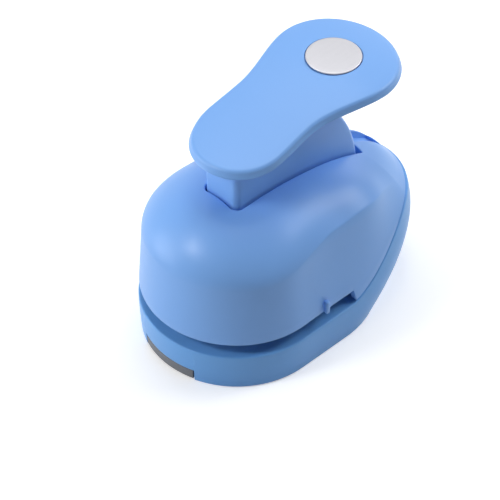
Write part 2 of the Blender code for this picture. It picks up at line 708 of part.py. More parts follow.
def plate_outline(radius, tail, rear):
    """Nose arc, straight sides and a narrower tail between the shell's bosses."""
    nose = arc((0, BODY_HALF_WIDTH), radius, math.pi, 2 * math.pi, ROUND_STEPS // 2)
    nose += [(radius, THROAT_DEPTH), (tail, PLATE_TAIL_START), (tail, rear)]
    return nose + [(-tail, rear), (-tail, PLATE_TAIL_START), (-radius, THROAT_DEPTH)]


def build_die_plate():
    outline = plate_outline(PLATE_RADIUS, PLATE_TAIL_HALF_WIDTH, PLATE_REAR)
    plate = add_object("die_plate", prism(outline, "Z", DIE_BOTTOM, DIE_TOP), STEEL, 0.3, 1.0)
    hole = cylinder(PUNCH_RADIUS + DIE_CLEARANCE, (0, PUNCH_Y, 0), DECK_HEIGHT, GUIDE_BOTTOM, DIE_STEPS)
    cut(plate, add_object("cut_die", hole))
    for x, y, name in die_screw_places():
        sink = turned([(0, DECK_HEIGHT), (SCREW_RADIUS + SCREW_CLEARANCE, DECK_HEIGHT),
                       (SCREW_RADIUS + SCREW_CLEARANCE, SINK_FOOT),
                       (SCREW_HEAD_RADIUS + SCREW_CLEARANCE, DIE_TOP),
                       (SCREW_HEAD_RADIUS + SCREW_CLEARANCE, GUIDE_BOTTOM), (0, GUIDE_BOTTOM)],
                      (x, y, 0), BOSS_STEPS)
        cut(plate, add_object("cut_sink_" + name, sink))
    for x, y, name in chassis_screw_places():
        cut(plate, screw_hole(x, y, DECK_HEIGHT, GUIDE_BOTTOM, "die_" + name))
    return plate


def build_paper_stop():
    outline = [(-PLATE_TAIL_HALF_WIDTH, PLATE_TAIL_START), (PLATE_TAIL_HALF_WIDTH, PLATE_TAIL_START),
               (PLATE_TAIL_HALF_WIDTH, PLATE_REAR), (-PLATE_TAIL_HALF_WIDTH, PLATE_REAR)]
    low = DIE_TOP + FIT_GAP
    high = GUIDE_BOTTOM - FIT_GAP
    stop = add_object("paper_stop", prism(outline, "Z", low, high), STEEL, 0.35, 1.0)
    for x, y, name in chassis_screw_places():
        cut(stop, screw_hole(x, y, DIE_BOTTOM, GUIDE_TOP, "stop_" + name))
    return stop


def build_guide_plate():
    outline = plate_outline(PLATE_RADIUS, PLATE_TAIL_HALF_WIDTH, PLATE_REAR)
    plate = add_object("guide_plate", prism(outline, "Z", GUIDE_BOTTOM, GUIDE_TOP), STEEL, 0.35, 1.0)
    hole = cylinder(PUNCH_RADIUS + DIE_CLEARANCE, (0, PUNCH_Y, 0), DIE_TOP, WASHER_TOP, DIE_STEPS)
    cut(plate, add_object("cut_guide", hole))
    for x, y, name in chassis_screw_places() + bracket_screw_places():
        cut(plate, screw_hole(x, y, DIE_TOP, WASHER_TOP, "guide_" + name))
    return plate


def build_punch():
    centre = (0, PUNCH_Y, 0)
    origin = (0, PUNCH_Y, CUTTER_BOTTOM)
    hole = SCREW_RADIUS + SCREW_CLEARANCE
    cutter = turned([(0, CUTTER_BOTTOM + CUTTER_CUP_DEPTH), (PUNCH_RADIUS, CUTTER_BOTTOM),
                     (PUNCH_RADIUS, CUTTER_TOP), (hole, CUTTER_TOP),
                     (hole, CUTTER_TOP - PUNCH_SCREW_GRIP - CUTTER_CUP_DEPTH),
                     (0, CUTTER_TOP - PUNCH_SCREW_GRIP - CUTTER_CUP_DEPTH)], centre, DIE_STEPS)
    add_object("punch_cutter", cutter, STEEL, 0.22, 1.0, origin)
    recess = SCREW_HEAD_RADIUS + SCREW_CLEARANCE
    seat = HEAD_TOP - SCREW_HEAD_HEIGHT - 2 * FIT_GAP
    rim = HEAD_RADIUS - HEAD_CHAMFER
    head = add_object("punch_head", turned(
        [(0, HEAD_BOTTOM), (rim, HEAD_BOTTOM), (HEAD_RADIUS, HEAD_BOTTOM + HEAD_CHAMFER),
         (HEAD_RADIUS, HEAD_TOP - HEAD_CHAMFER), (rim, HEAD_TOP), (0, HEAD_TOP)], centre),
        ZINC, 0.5, 1.0, origin)
    cut(head, add_object("cut_head_recess", cylinder(recess, centre, seat, HEAD_TOP + OVERRUN)))
    cut(head, screw_hole(0, PUNCH_Y, CUTTER_TOP - FIT_GAP, HEAD_TOP, "head_screw"))
    add_screw("punch_screw", 0, PUNCH_Y, seat + FIT_GAP, PUNCH_SCREW_GRIP + HEAD_THICKNESS / 2, 1, origin)


def add_screw(name, x, y, seat, length, head_side, origin=None):
    """Pan-head screw; head_side is 1 with the head above its seat and -1 below it."""
    waist = SCREW_HEAD_RADIUS - SCREW_HEAD_HEIGHT / 4
    profile = [(0, seat - head_side * length), (SCREW_RADIUS, seat - head_side * length),
               (SCREW_RADIUS, seat), (SCREW_HEAD_RADIUS, seat),
               (SCREW_HEAD_RADIUS, seat + head_side * SCREW_HEAD_HEIGHT / 2),
               (waist, seat + head_side * SCREW_HEAD_HEIGHT),
               (0, seat + head_side * SCREW_HEAD_HEIGHT)]
    return add_object(name, turned(profile, (x, y, 0), BOSS_STEPS), STEEL, 0.35, 1.0,
                      origin or (x, y, seat))


def build_fixed_screws():
    for x, y, name in chassis_screw_places():
        add_screw(name, x, y, GUIDE_TOP + FIT_GAP, GUIDE_TOP - PILLAR_FOOT, 1)
    for x, y, name in bracket_screw_places():
        seat = GUIDE_TOP + FIT_GAP + SHEET + FIT_GAP
        add_screw(name, x, y, seat, seat - GUIDE_BOTTOM - FIT_GAP, 1)
    for x, y, name in shell_screw_places():
        seat = PILLAR_FOOT - FIT_GAP
        add_screw("shell_screw_" + name, x, y, seat, SHELL_BOSS_FOOT - seat + SHELL_SCREW_GRIP, -1)
    for x, y, name in die_screw_places():
        top = DIE_TOP - FIT_GAP / 3
        foot = SINK_FOOT - SCREW_CLEARANCE
        profile = [(0, PILLAR_FOOT), (SCREW_RADIUS, PILLAR_FOOT), (SCREW_RADIUS, foot),
                   (SCREW_RADIUS, SINK_FOOT), (SCREW_HEAD_RADIUS, top), (0, top)]
        add_object(name, turned(profile, (x, y, 0), BOSS_STEPS), STEEL, 0.35, 1.0, (x, y, top))


def build_washer():
    inner = PUNCH_RADIUS + WASHER_PLAY
    washer = ring_solid(inner, inner + WASHER_WIDTH, (0, PUNCH_Y, 0), WASHER_BOTTOM, WASHER_TOP)
    add_object("spring_washer", washer, STEEL, 0.35, 1.0, (0, PUNCH_Y, WASHER_BOTTOM))


def spring_points():
    """Centre line of the return spring, one even helix round the cutter."""
    low = WASHER_TOP + FIT_GAP + SPRING_WIRE / 2
    high = HEAD_BOTTOM - FIT_GAP - SPRING_WIRE / 2
    count = round(SPRING_TURNS * SPRING_POINTS_PER_TURN)
    points = []
    for step in range(count + 1):
        angle = 2 * math.pi * step / SPRING_POINTS_PER_TURN
        points.append(Vector((SPRING_MEAN_RADIUS * math.cos(angle), SPRING_MEAN_RADIUS * math.sin(angle),
                              mix(low, high, step / count) - low)))
    return points, low


def least_spring_gap(points):
    """Smallest space between two curls of the spring."""
    least = float("inf")
    for index, point in enumerate(points):
        for other in points[index + SPRING_POINTS_PER_TURN // 2:]:
            least = min(least, (other - point).length - SPRING_WIRE)
    return least


def build_return_spring():
    points, low = spring_points()
    curve = bpy.data.curves.new("return_spring", "CURVE")
    curve.dimensions = "3D"
    curve.bevel_depth = SPRING_WIRE / 2
    curve.bevel_resolution = 1
    curve.use_fill_caps = True
    spline = curve.splines.new("POLY")
    spline.points.add(len(points) - 1)
    for target, point in zip(spline.points, points):
        target.co = (*point, 1.0)
    spring = bpy.data.objects.new("return_spring", curve)
    spring.location = (0, PUNCH_Y, low)
    spring.parent = FRAME
    curve.materials.append(make_material("return_spring", SPRING_STEEL, 0.3, 1.0))
    bpy.context.scene.collection.objects.link(spring)
    print("least gap between curls of return_spring, metres:", round(least_spring_gap(points), 6))


def build_bracket():
    inner = STEM_HALF_WIDTH + CHEEK_CLEARANCE
    outer = inner + SHEET
    foot = GUIDE_TOP + FIT_GAP
    eye = arc((PIVOT_Y, PIVOT_HEIGHT), EYE_RADIUS, 0, math.pi, BOSS_STEPS)
    outline = [(BRACKET_FRONT, foot), (BRACKET_REAR, foot), (BRACKET_REAR, HEAD_BOTTOM)] + eye
    bracket = add_object("lever_bracket", prism(outline, "X", -outer, outer), ZINC, 0.4, 1.0)
    between = [(BRACKET_FRONT - OVERRUN, foot + SHEET), (PIVOT_Y + EYE_RADIUS + OVERRUN, foot + SHEET),
               (PIVOT_Y + EYE_RADIUS + OVERRUN, CROWN_HEIGHT), (BRACKET_FRONT - OVERRUN, CROWN_HEIGHT)]
    cut(bracket, add_object("cut_between_cheeks", prism(between, "X", -inner, inner)))
    pin_hole = cylinder(PIN_RADIUS + PIN_PLAY, (0, PIVOT_Y, PIVOT_HEIGHT), -outer - OVERRUN,
                        outer + OVERRUN, ROUND_STEPS, "X")
    cut(bracket, add_object("cut_bracket_pin", pin_hole))
    for x, y, name in bracket_screw_places():
        cut(bracket, screw_hole(x, y, GUIDE_BOTTOM, WASHER_TOP + SHEET, "web_" + name))
    centre = (0, PIVOT_Y, PIVOT_HEIGHT)
    clip_in = outer + FIT_GAP
    reach = clip_in + CLIP_THICKNESS + PIN_OVERHANG
    pin = cylinder(PIN_RADIUS, centre, -reach, reach, ROUND_STEPS, "X")
    add_object("pivot_pin", pin, STEEL, 0.25, 1.0, centre)
    for sign, name in sides():
        span = sorted((sign * clip_in, sign * (clip_in + CLIP_THICKNESS)))
        clip = ring_solid(PIN_RADIUS + PIN_PLAY, CLIP_RADIUS, centre, span[0], span[1], ROUND_STEPS, "X")
        add_object("pin_clip_" + name, clip, SPRING_STEEL, 0.35, 1.0, centre)


def pad_arch(place):
    """Height of the pad's top edge along its length."""
    rise = smooth(PAD_CLIMB_START, PAD_CLIMB_END, place)
    past = max((place - PAD_CLIMB_END) / (PAD_REAR_TIP - PAD_CLIMB_END), 0.0)
    return mix(PAD_FRONT_HEIGHT, PAD_REAR_HEIGHT, rise) - PAD_DROOP * past ** 2


def pad_height(x, y):
    """Height of the pad's top, with its slight crown across the width."""
    return pad_arch(y) + PAD_CROWN * (1 - (x / PAD_REAR_HALF_WIDTH) ** 2)


def pad_half_outline():
    """Right half of the pad from above: front lobe, waist and wide rear lobe."""
    points = []
    for step in range(PAD_END_STEPS):
        angle = math.pi / 2 * step / PAD_END_STEPS
        reach = PAD_FRONT_LOBE_Y - PAD_FRONT_TIP
        points.append((PAD_FRONT_HALF_WIDTH * math.sin(angle), PAD_FRONT_LOBE_Y - reach * math.cos(angle)))
    stages = ((PAD_FRONT_LOBE_Y, PAD_FRONT_HALF_WIDTH, PAD_WAIST_Y, PAD_WAIST_HALF_WIDTH),
              (PAD_WAIST_Y, PAD_WAIST_HALF_WIDTH, PAD_REAR_LOBE_Y, PAD_REAR_HALF_WIDTH))
    for start, start_half, end, end_half in stages:
        for step in range(PAD_SIDE_STEPS):
            share = step / PAD_SIDE_STEPS
            points.append((mix(start_half, end_half, smooth(0, 1, share)), mix(start, end, share)))
    for step in range(PAD_END_STEPS + 1):
        angle = math.pi / 2 * step / PAD_END_STEPS
        reach = PAD_REAR_TIP - PAD_REAR_LOBE_Y
        points.append((PAD_REAR_HALF_WIDTH * math.cos(angle), PAD_REAR_LOBE_Y + reach * math.sin(angle)))
    points[-1] = (0.0, PAD_REAR_TIP)
    return points


def pad_profile(point):
    """Curve from the middle of the pad's underside round its edge to the middle of its top."""
    edge = Vector(point)
    share = (edge.y - PAD_FRONT_TIP) / (PAD_REAR_TIP - PAD_FRONT_TIP)
    front = PAD_FRONT_TIP + PAD_FRONT_HALF_WIDTH
    rear = PAD_REAR_TIP - PAD_REAR_HALF_WIDTH
    spine = Vector((0.0, mix(front, rear, share)))
    inward = (spine - edge).normalized()
    stations = []
    for step in range(PAD_TOP_STEPS):
        spot = spine.lerp(edge + inward * PAD_BOTTOM_FILLET, step / PAD_TOP_STEPS)
        stations.append((spot, PAD_THICKNESS))
    for step in range(PAD_FILLET_STEPS):
        angle = math.pi / 2 * step / (PAD_FILLET_STEPS - 1)
        spot = edge + inward * (PAD_BOTTOM_FILLET * (1 - math.sin(angle)))
        stations.append((spot, PAD_THICKNESS - PAD_BOTTOM_FILLET * (1 - math.cos(angle))))
    for step in range(PAD_FILLET_STEPS + 1):
        angle = math.pi / 2 * step / PAD_FILLET_STEPS
        spot = edge + inward * (PAD_TOP_FILLET * (1 - math.cos(angle)))
        stations.append((spot, PAD_TOP_FILLET * (1 - math.sin(angle))))
    for step in range(1, PAD_TOP_STEPS + 1):
        spot = (edge + inward * PAD_TOP_FILLET).lerp(spine, step / PAD_TOP_STEPS)
        stations.append((spot, 0.0))
    return [Vector((spot.x, spot.y, pad_height(spot.x, spot.y) - drop)) for spot, drop in stations]


def stem_outline():
    """Side view of the lever's stem, from the press nose round the pivot boss and up."""
    pivot = (PIVOT_Y, PIVOT_HEIGHT)
    press = (PUNCH_Y, HEAD_TOP + FIT_GAP + PRESS_RADIUS)
    under = press[1] - PRESS_RADIUS + STEM_BOTTOM_RISE
    swing = math.acos((press[1] - under) / PRESS_RADIUS)
    outline = arc(pivot, STEM_BOSS_RADIUS, math.pi, 1.5 * math.pi, CORNER_STEPS)
    outline += arc(press, PRESS_RADIUS, 1.5 * math.pi - swing, 2 * math.pi, CORNER_STEPS)
    foot = math.asin((HEAD_TOP + FIT_GAP + STEM_FOOT_RISE - PIVOT_HEIGHT) / STEM_REAR_RADIUS)
    outline += arc(pivot, STEM_REAR_RADIUS, foot, STEM_ARC_TOP, STEM_ARC_STEPS)
    last = outline[-1]
    top = PAD_REAR_HEIGHT - PAD_THICKNESS / 2
    outline.append((last[0] - (top - last[1]) * math.tan(STEM_ARC_TOP), top))
    start = outline[-1][0]
    for step in range(1, PAD_SIDE_STEPS + 1):
        place = mix(start, STEM_FRONT, step / PAD_SIDE_STEPS)
        outline.append((place, pad_arch(place) - PAD_THICKNESS / 2))
    return outline


def build_stem():
    """The stem: its side view, kept inside a plan with round front corners."""
    reach = STEM_HALF_WIDTH + OVERRUN
    stem = add_object("join_stem", prism(stem_outline(), "X", -reach, reach))
    plan = slot_outline(STEM_HALF_WIDTH, STEM_FRONT, PAD_REAR_TIP, STEM_CORNER)
    foot = PIVOT_HEIGHT - STEM_BOSS_RADIUS - OVERRUN
    return keep_inside(stem, add_object("keep_stem_plan", prism(plan, "Z", foot, PAD_REAR_HEIGHT)))


def build_lever():
    centre = (0, PIVOT_Y, PIVOT_HEIGHT)
    pad = skin([pad_profile(point) for point in pad_half_outline()])
    lever = add_object("thumb_lever", pad, LEVER_BLUE, 0.36, 0.0, centre)
    join(lever, build_stem())
    pin_hole = cylinder(PIN_RADIUS + PIN_PLAY, centre, -STEM_HALF_WIDTH - OVERRUN,
                        STEM_HALF_WIDTH + OVERRUN, ROUND_STEPS, "X")
    cut(lever, add_object("cut_lever_pin", pin_hole))
    under = HEAD_TOP - OVERRUN
    core_top = PAD_FRONT_HEIGHT - PAD_THICKNESS
    core_front = PUNCH_Y + PRESS_RADIUS + STEM_WALL
    core_rear = PIVOT_Y + STEM_REAR_RADIUS - STEM_WALL
    lean = (core_top - PIVOT_HEIGHT) * math.tan(STEM_ARC_TOP) / 2
    core = [(core_front, under), (core_rear - STEM_WALL, under), (core_rear - STEM_WALL, PIVOT_HEIGHT),
            (core_rear - STEM_WALL - lean, core_top), (core_front, core_top)]
    half = STEM_HALF_WIDTH - STEM_WALL
    cut(lever, add_object("cut_stem_core", prism(core, "X", -half, half)))
    top = pad_height(0, INLAY_Y)
    recess_floor = top - INLAY_THICKNESS - FIT_GAP
    recess = cylinder(INLAY_RADIUS + FIT_GAP, (0, INLAY_Y, 0), recess_floor, top + OVERRUN, DIE_STEPS)
    cut(lever, add_object("cut_inlay_recess", recess))
    low = recess_floor + FIT_GAP
    high = low + INLAY_THICKNESS
    rim = INLAY_RADIUS - INLAY_THICKNESS / 4
    disc = turned([(0, low), (INLAY_RADIUS, low), (INLAY_RADIUS, high - INLAY_THICKNESS / 4),
                   (rim, high), (0, high)], (0, INLAY_Y, 0), DIE_STEPS)
    add_object("inlay_disc", disc, SILVER, 0.3, 0.8, centre)


clear_scene()
FRAME = bpy.data.objects.new("punch_frame", None)
FRAME.location = (0, -BODY_LENGTH / 2, 0)
bpy.context.scene.collection.objects.link(FRAME)
build_upper_shell()
build_base_housing()
build_chip_cover()
build_die_plate()
build_paper_stop()
build_guide_plate()
build_punch()
build_washer()
build_return_spring()
build_bracket()
build_fixed_screws()
build_lever()
bpy.context.view_layer.update()
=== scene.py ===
# %% [markdown]
# # Dressing a lever-action circle punch
#
# The punch cuts round holes. A rounded blue body holds a steel punch and die, and a thumb
# lever on a tall stem presses the punch down. The mechanical model is finished and comes in
# as a fixed frame. This lesson builds the surfaces that the eye sees on top of it: smooth
# moulded plastic with small rounded edges, a silver inlay and bright steel. Every length is
# in metres, and MM turns a number of millimetres into metres.

# %% Load the frame
import math

import bmesh
import bpy
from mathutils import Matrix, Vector
from mathutils.geometry import delaunay_2d_cdt


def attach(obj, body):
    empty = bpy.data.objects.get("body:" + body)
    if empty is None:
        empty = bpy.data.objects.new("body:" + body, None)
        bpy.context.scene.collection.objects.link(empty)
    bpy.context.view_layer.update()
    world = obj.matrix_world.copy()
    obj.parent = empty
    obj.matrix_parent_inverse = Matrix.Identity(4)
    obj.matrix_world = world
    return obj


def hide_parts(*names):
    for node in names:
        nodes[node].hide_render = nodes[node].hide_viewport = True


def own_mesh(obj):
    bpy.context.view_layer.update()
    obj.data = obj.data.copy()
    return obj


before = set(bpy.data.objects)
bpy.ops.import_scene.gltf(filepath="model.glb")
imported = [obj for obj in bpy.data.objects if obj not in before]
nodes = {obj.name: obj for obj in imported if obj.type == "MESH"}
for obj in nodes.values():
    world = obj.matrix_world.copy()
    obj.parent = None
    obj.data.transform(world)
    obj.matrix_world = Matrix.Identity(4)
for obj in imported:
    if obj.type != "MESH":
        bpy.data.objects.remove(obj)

MM = 0.001
QUARTER_TURN = math.pi / 2


def in_millimetres(corners):
    return [[round(value / MM, 2) for value in corner] for corner in corners]


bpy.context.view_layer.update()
print("nodes in the frame:", len(nodes))

# %% [markdown]
# ## The numbers that shape the body
#
# The body is one moulded form that a seam splits into a shell and a base. Seen from above it
# is a half circle at the nose, straight along the sides and a long half ellipse at the rear.
# Lengths run back from the tip of the nose, because the mould maker measures from there, and
# a single shift puts finished pieces in the frame, whose origin is under the middle.

# %% Body numbers
BODY_LENGTH = 100.0 * MM
HALF_WIDTH = 31.5 * MM
SIDE_END = 51.0 * MM
BELT_REAR = 99.55 * MM
FLOOR_REAR = 83.0 * MM
FLOOR_INSET = 0.6 * MM
WALL = 2.4 * MM
HEEL_BULGE = 2.7 * MM
CROWN_HEIGHT = 58.0 * MM
CROWN_FALL = 10.4 * MM
CROWN_POWER = 2.0
SPINE_FRONT = 29.0 * MM
SPINE_POWER = 1.3
SPINE_REAR = 80.0 * MM
FIT_GAP = 0.3 * MM
to_frame = Vector((0, -BODY_LENGTH / 2, 0))
print("body length", BODY_LENGTH, "width", 2 * HALF_WIDTH)

# %% Seam and throat numbers
DECK = 13.9 * MM
DECK_UNDER = 11.5 * MM
SKIRT = 14.2 * MM
RIM = 19.0 * MM
THROAT_END = 53.5 * MM
SLOPE_END = 54.7 * MM
SEAM_START = 53.0 * MM
SEAM_STOP = 88.0 * MM
SEAM_EASE = 0.65
SEAM_TOP = 32.5 * MM
BELT_DROP = 0.8 * MM
print("throat height", RIM - DECK)

# %% [markdown]
# ## Blending three zones
#
# The nose, the sides and the rear each have their own way of curving. The sides carry a flat
# facet with a crease above it, the nose rolls over without one, and the rear is a low cap.
# Smooth blends between the zones let the crease rise out of the nose and fade at the rear.
# A single curve all round would be simpler, but then the nose would carry the crease too.
#
# Three numbers in a row below stand for nose, side and rear. LEANS says how far the facet
# leans in for each step up. The dome above it is a cubic curve: TURNS and UPS place its first
# handle, inwards and upwards, and INS places its second one, back from the spine.

# %% Small helpers for blending
def mix(low, high, share):
    return low + (high - low) * share


def smooth(low, high, value):
    share = min(max((value - low) / (high - low), 0.0), 1.0)
    return share * share * (3 - 2 * share)


# %% Heights that change along the body
def seam_height(place):
    """Height of the parting line between shell and base."""
    share = min(max((place - SEAM_START) / (SEAM_STOP - SEAM_START), 0.0), 1.0)
    return mix(SKIRT, SEAM_TOP, mix(share, smooth(0, 1, share), SEAM_EASE))


def shell_edge(place):
    """Lower edge of the shell: over the throat, down its end, then along the seam."""
    return seam_height(place) + (RIM - SKIRT) * (1 - smooth(THROAT_END, SLOPE_END, place))


def base_edge(place):
    return seam_height(place) - FIT_GAP


def crown_height(place):
    share = max((place - SPINE_FRONT) / (SPINE_REAR - SPINE_FRONT), 0.0)
    return CROWN_HEIGHT - CROWN_FALL * share ** CROWN_POWER


# %% Where each zone begins, and how it curves
FACET_ZONE = (17.0 * MM, 49.5 * MM, 59.5 * MM, 98.0 * MM)
CREASE_HEIGHTS = (41.4 * MM, 46.6 * MM, 35.0 * MM)
CREASE_RISE = 0.4 * MM
LEANS = (0.063, 0.14, 0.90)
TURNS = (0.03, 0.21, 0.25)
UPS = (0.40, 0.52, 0.47)
INS = (0.55, 0.64, 0.44)


def zone_shares(place):
    facet_start, facet_full, facet_fade, facet_gone = FACET_ZONE
    side = smooth(facet_start, facet_full, place) * (1 - smooth(facet_fade, facet_gone, place))
    return side, smooth(facet_full, facet_gone, place)


# %% [markdown]
# ## One upright section of the body
#
# A section is a curve that starts on the floor, climbs to the belt, follows the facet to the
# crease and then bends over the dome to the spine line. Its place round the body is a travel
# value: 0 to 1 is the nose arc, 1 to 2 the straight side and 2 to 3 the rear. A whole body
# could be drawn by hand as a subdivision cage, but sections keep the facet flat and let the
# same numbers shape the shell and the base, inside and outside.

# %% Outline seen from above
SIDE_TRAVEL, REAR_TRAVEL, LAST_TRAVEL = 1.0, 2.0, 3.0


def plan_spot(travel, inset, rear):
    half = HALF_WIDTH - inset
    if travel <= SIDE_TRAVEL:
        angle = QUARTER_TURN * travel
        return Vector((half * math.sin(angle), HALF_WIDTH - half * math.cos(angle)))
    if travel <= REAR_TRAVEL:
        return Vector((half, mix(HALF_WIDTH, SIDE_END, travel - SIDE_TRAVEL)))
    angle = QUARTER_TURN * (travel - REAR_TRAVEL)
    reach = rear - inset - SIDE_END
    return Vector((half * math.cos(angle), SIDE_END + reach * math.sin(angle)))


# %% The section itself
def section(travel, inset):
    floor = plan_spot(travel, FLOOR_INSET + inset, FLOOR_REAR)
    belt = plan_spot(travel, inset, BELT_REAR)
    side, rear = zone_shares(belt.y)

    def zone(values):
        return mix(mix(values[0], values[2], rear), values[1], side)

    rise = CREASE_RISE * smooth(SIDE_END, FACET_ZONE[2], belt.y)
    heights = (CREASE_HEIGHTS[0], CREASE_HEIGHTS[1] + rise, CREASE_HEIGHTS[2])
    belt_height = seam_height(belt.y) - BELT_DROP
    crease_height = zone(heights) - inset / 2
    spine = Vector((0.0, mix(SPINE_FRONT, SPINE_REAR, (belt.y / BODY_LENGTH) ** SPINE_POWER)))
    top = crown_height(spine.y) - inset
    run = (spine - belt).normalized()
    crease = belt + run * (zone(LEANS) * (crease_height - belt_height))
    above = crease.lerp(spine, zone(TURNS))
    before = spine.lerp(crease, zone(INS))
    dome = (Vector((*crease, crease_height)),
            Vector((*above, mix(crease_height, top, zone(UPS)))),
            Vector((*before, top)), Vector((*spine, top)))
    return {"floor": floor, "belt": belt, "run": run, "bulge": HEEL_BULGE * rear,
            "belt_height": belt_height, "dome": dome}


# %% A point on a section
BELT_WAY, CREASE_WAY, HALF_DOME_WAY, SPINE_WAY = 1.0, 2.0, 2.5, 3.0


def on_section(part, way):
    """Way 0 to 1 is floor to belt, 1 to 2 belt to crease, and 2 to 3 crease to spine."""
    if way < BELT_WAY:
        spot = part["floor"].lerp(part["belt"], math.sin(QUARTER_TURN * way))
        spot = spot - part["run"] * (part["bulge"] * math.sin(math.pi * way))
        return Vector((*spot, part["belt_height"] * way))
    if way < CREASE_WAY:
        belt = Vector((*part["belt"], part["belt_height"]))
        return belt.lerp(part["dome"][0], way - BELT_WAY)
    share, rest = way - CREASE_WAY, SPINE_WAY - way
    weights = (rest ** 3, 3 * share * rest ** 2, 3 * share ** 2 * rest, share ** 3)
    return sum((corner * weight for corner, weight in zip(part["dome"], weights)),
               Vector((0, 0, 0)))


# %% Finding a place on a section
SEARCH_STEPS = 40


def find_way(part, passed, low=0.0, high=SPINE_WAY):
    """Halve the interval until it pins down where the test turns true."""
    for _ in range(SEARCH_STEPS):
        middle = (low + high) / 2
        if passed(on_section(part, middle)):
            high = middle
        else:
            low = middle
    return high


def at_height(part, height):
    """Way at which a section passes this height."""
    return find_way(part, lambda spot: spot.z > height)


def climb(part, start, stop, rows):
    """Points on a section, evenly from one way to another."""
    return [on_section(part, mix(start, stop, step / rows)) for step in range(rows + 1)]


nose = section(0.0, 0.0)
print("nose section reaches the spine at", in_millimetres([on_section(nose, SPINE_WAY)]))

# %% [markdown]
# ## The opening in the dome
#
# The lever's stem comes up through a slot, and a narrow relief groove runs down behind it.
# A signed distance says how far any point is outside that opening, seen from above. With it
# each section knows where to stop, and a rounded lip of any radius follows by itself, which
# gives a cleaner edge than cutting the finished dome with a boolean.

# %% Distance to the slot and the groove
SLOT_HALF = 7.95 * MM
SLOT_FRONT = 24.1 * MM
SLOT_REAR = 79.1 * MM
SLOT_FRONT_RADIUS = 2.9 * MM
SLOT_REAR_RADIUS = 0.4 * MM
GROOVE_HALF = 3.3 * MM
GROOVE_END = 92.5 * MM
GROOVE_RADIUS = 0.7 * MM


def box_distance(spot, low, high, radius):
    middle, half = (low + high) / 2, (high - low) / 2
    across = abs(spot.x - middle.x) - half.x + radius
    along = abs(spot.y - middle.y) - half.y + radius
    outside = math.hypot(max(across, 0.0), max(along, 0.0))
    return outside + min(max(across, along), 0.0) - radius


def opening_distance(spot):
    front = spot.y < (SLOT_FRONT + SLOT_REAR) / 2
    slot = box_distance(spot, Vector((-SLOT_HALF, SLOT_FRONT)), Vector((SLOT_HALF, SLOT_REAR)),
                        SLOT_FRONT_RADIUS if front else SLOT_REAR_RADIUS)
    groove = box_distance(spot, Vector((-GROOVE_HALF, SLOT_REAR - SLOT_HALF)),
                          Vector((GROOVE_HALF, GROOVE_END)), GROOVE_RADIUS)
    return min(slot, groove)


print("nose tip to the slot", round(opening_distance(Vector((0, 0))) / MM, 2), "mm")

# %% [markdown]
# ## Choosing where the sections stand
#
# Even spacing would round off the corners of the slot, the groove and the throat. So the
# list of travels holds an even set and extra ones that pass exactly through those corners.

# %% Travel for a point seen from above
def travel_through(spot):
    """Travel whose section, seen from above, runs through this point."""
    low, high = 0.0, LAST_TRAVEL
    for _ in range(SEARCH_STEPS):
        middle = (low + high) / 2
        part = section(middle, 0.0)
        belt, spine = part["belt"], part["dome"][3].xy
        ahead, to_spot = spine - belt, spot - belt
        if ahead.x * to_spot.y - ahead.y * to_spot.x > 0:
            high = middle
        else:
            low = middle
    return (low + high) / 2


def rear_travel(place):
    """Travel where the belt has this place along the body."""
    return REAR_TRAVEL + math.asin((place - SIDE_END) / (BELT_REAR - SIDE_END)) / QUARTER_TURN


# %% Corners that sections pass through
FRONT_FAN, REAR_FAN, GROOVE_FAN = 8, 4, 5
SHELF_STEPS = 6
GROOVE_STEPS = 12


def corner_fan(centre, radius, start, stop, count):
    """Points on an arc between two angles in degrees."""
    angles = [math.radians(mix(start, stop, step / count)) for step in range(count + 1)]
    return [centre + radius * Vector((math.cos(angle), math.sin(angle))) for angle in angles]


slot_corner = Vector((SLOT_HALF - SLOT_FRONT_RADIUS, SLOT_FRONT + SLOT_FRONT_RADIUS))
rear_corner = Vector((SLOT_HALF - SLOT_REAR_RADIUS, SLOT_REAR - SLOT_REAR_RADIUS))
groove_corner = Vector((GROOVE_HALF - GROOVE_RADIUS, GROOVE_END - GROOVE_RADIUS))
marks = corner_fan(slot_corner, SLOT_FRONT_RADIUS, -90, 0, FRONT_FAN)
marks += corner_fan(rear_corner, SLOT_REAR_RADIUS, 0, 90, REAR_FAN)
marks += [Vector((mix(rear_corner.x, GROOVE_HALF, step / SHELF_STEPS), SLOT_REAR))
          for step in range(1, SHELF_STEPS + 1)]
marks += [Vector((GROOVE_HALF, mix(SLOT_REAR, groove_corner.y, step / GROOVE_STEPS)))
          for step in range(1, GROOVE_STEPS)]
marks += corner_fan(groove_corner, GROOVE_RADIUS, 0, 90, GROOVE_FAN)
print("corner points of the opening:", len(marks))

# %% The list of travels
EVEN_COUNTS = (44, 16, 58)
THROAT_STEPS = 8
LEAST_STEP = 0.0015
SAME_STEP = LEAST_STEP / 20
throat_places = [mix(THROAT_END, SLOPE_END, step / THROAT_STEPS)
                 for step in range(-1, THROAT_STEPS + 2)]
exact = [travel_through(mark) for mark in marks] + [rear_travel(place) for place in throat_places]
even = [zone_index + step / count for zone_index, count in enumerate(EVEN_COUNTS)
        for step in range(count)] + [LAST_TRAVEL]
travels = sorted(exact + [value for value in even
                          if all(abs(value - other) > 2 * LEAST_STEP for other in exact)])
travels = [value for index, value in enumerate(travels)
           if index == 0 or value - travels[index - 1] > SAME_STEP]
print("sections on one side:", len(travels))

# %% [markdown]
# ## From sections to a mesh
#
# Each section becomes a closed loop of points round the thickness of the wall, and the loops
# stand side by side round the body like the ribs of a basket. Neighbouring loops are joined
# by quads. The left half is the mirror of the right half, as the mould is symmetrical.

# %% Mesh builders
BOTH_ENDS = (0, -1)


def mirrored_loops(right):
    """The right half's loops, then their mirror images back to the start."""
    left = [[Vector((-point.x, point.y, point.z)) for point in loop] for loop in right[-2:0:-1]]
    return right + left


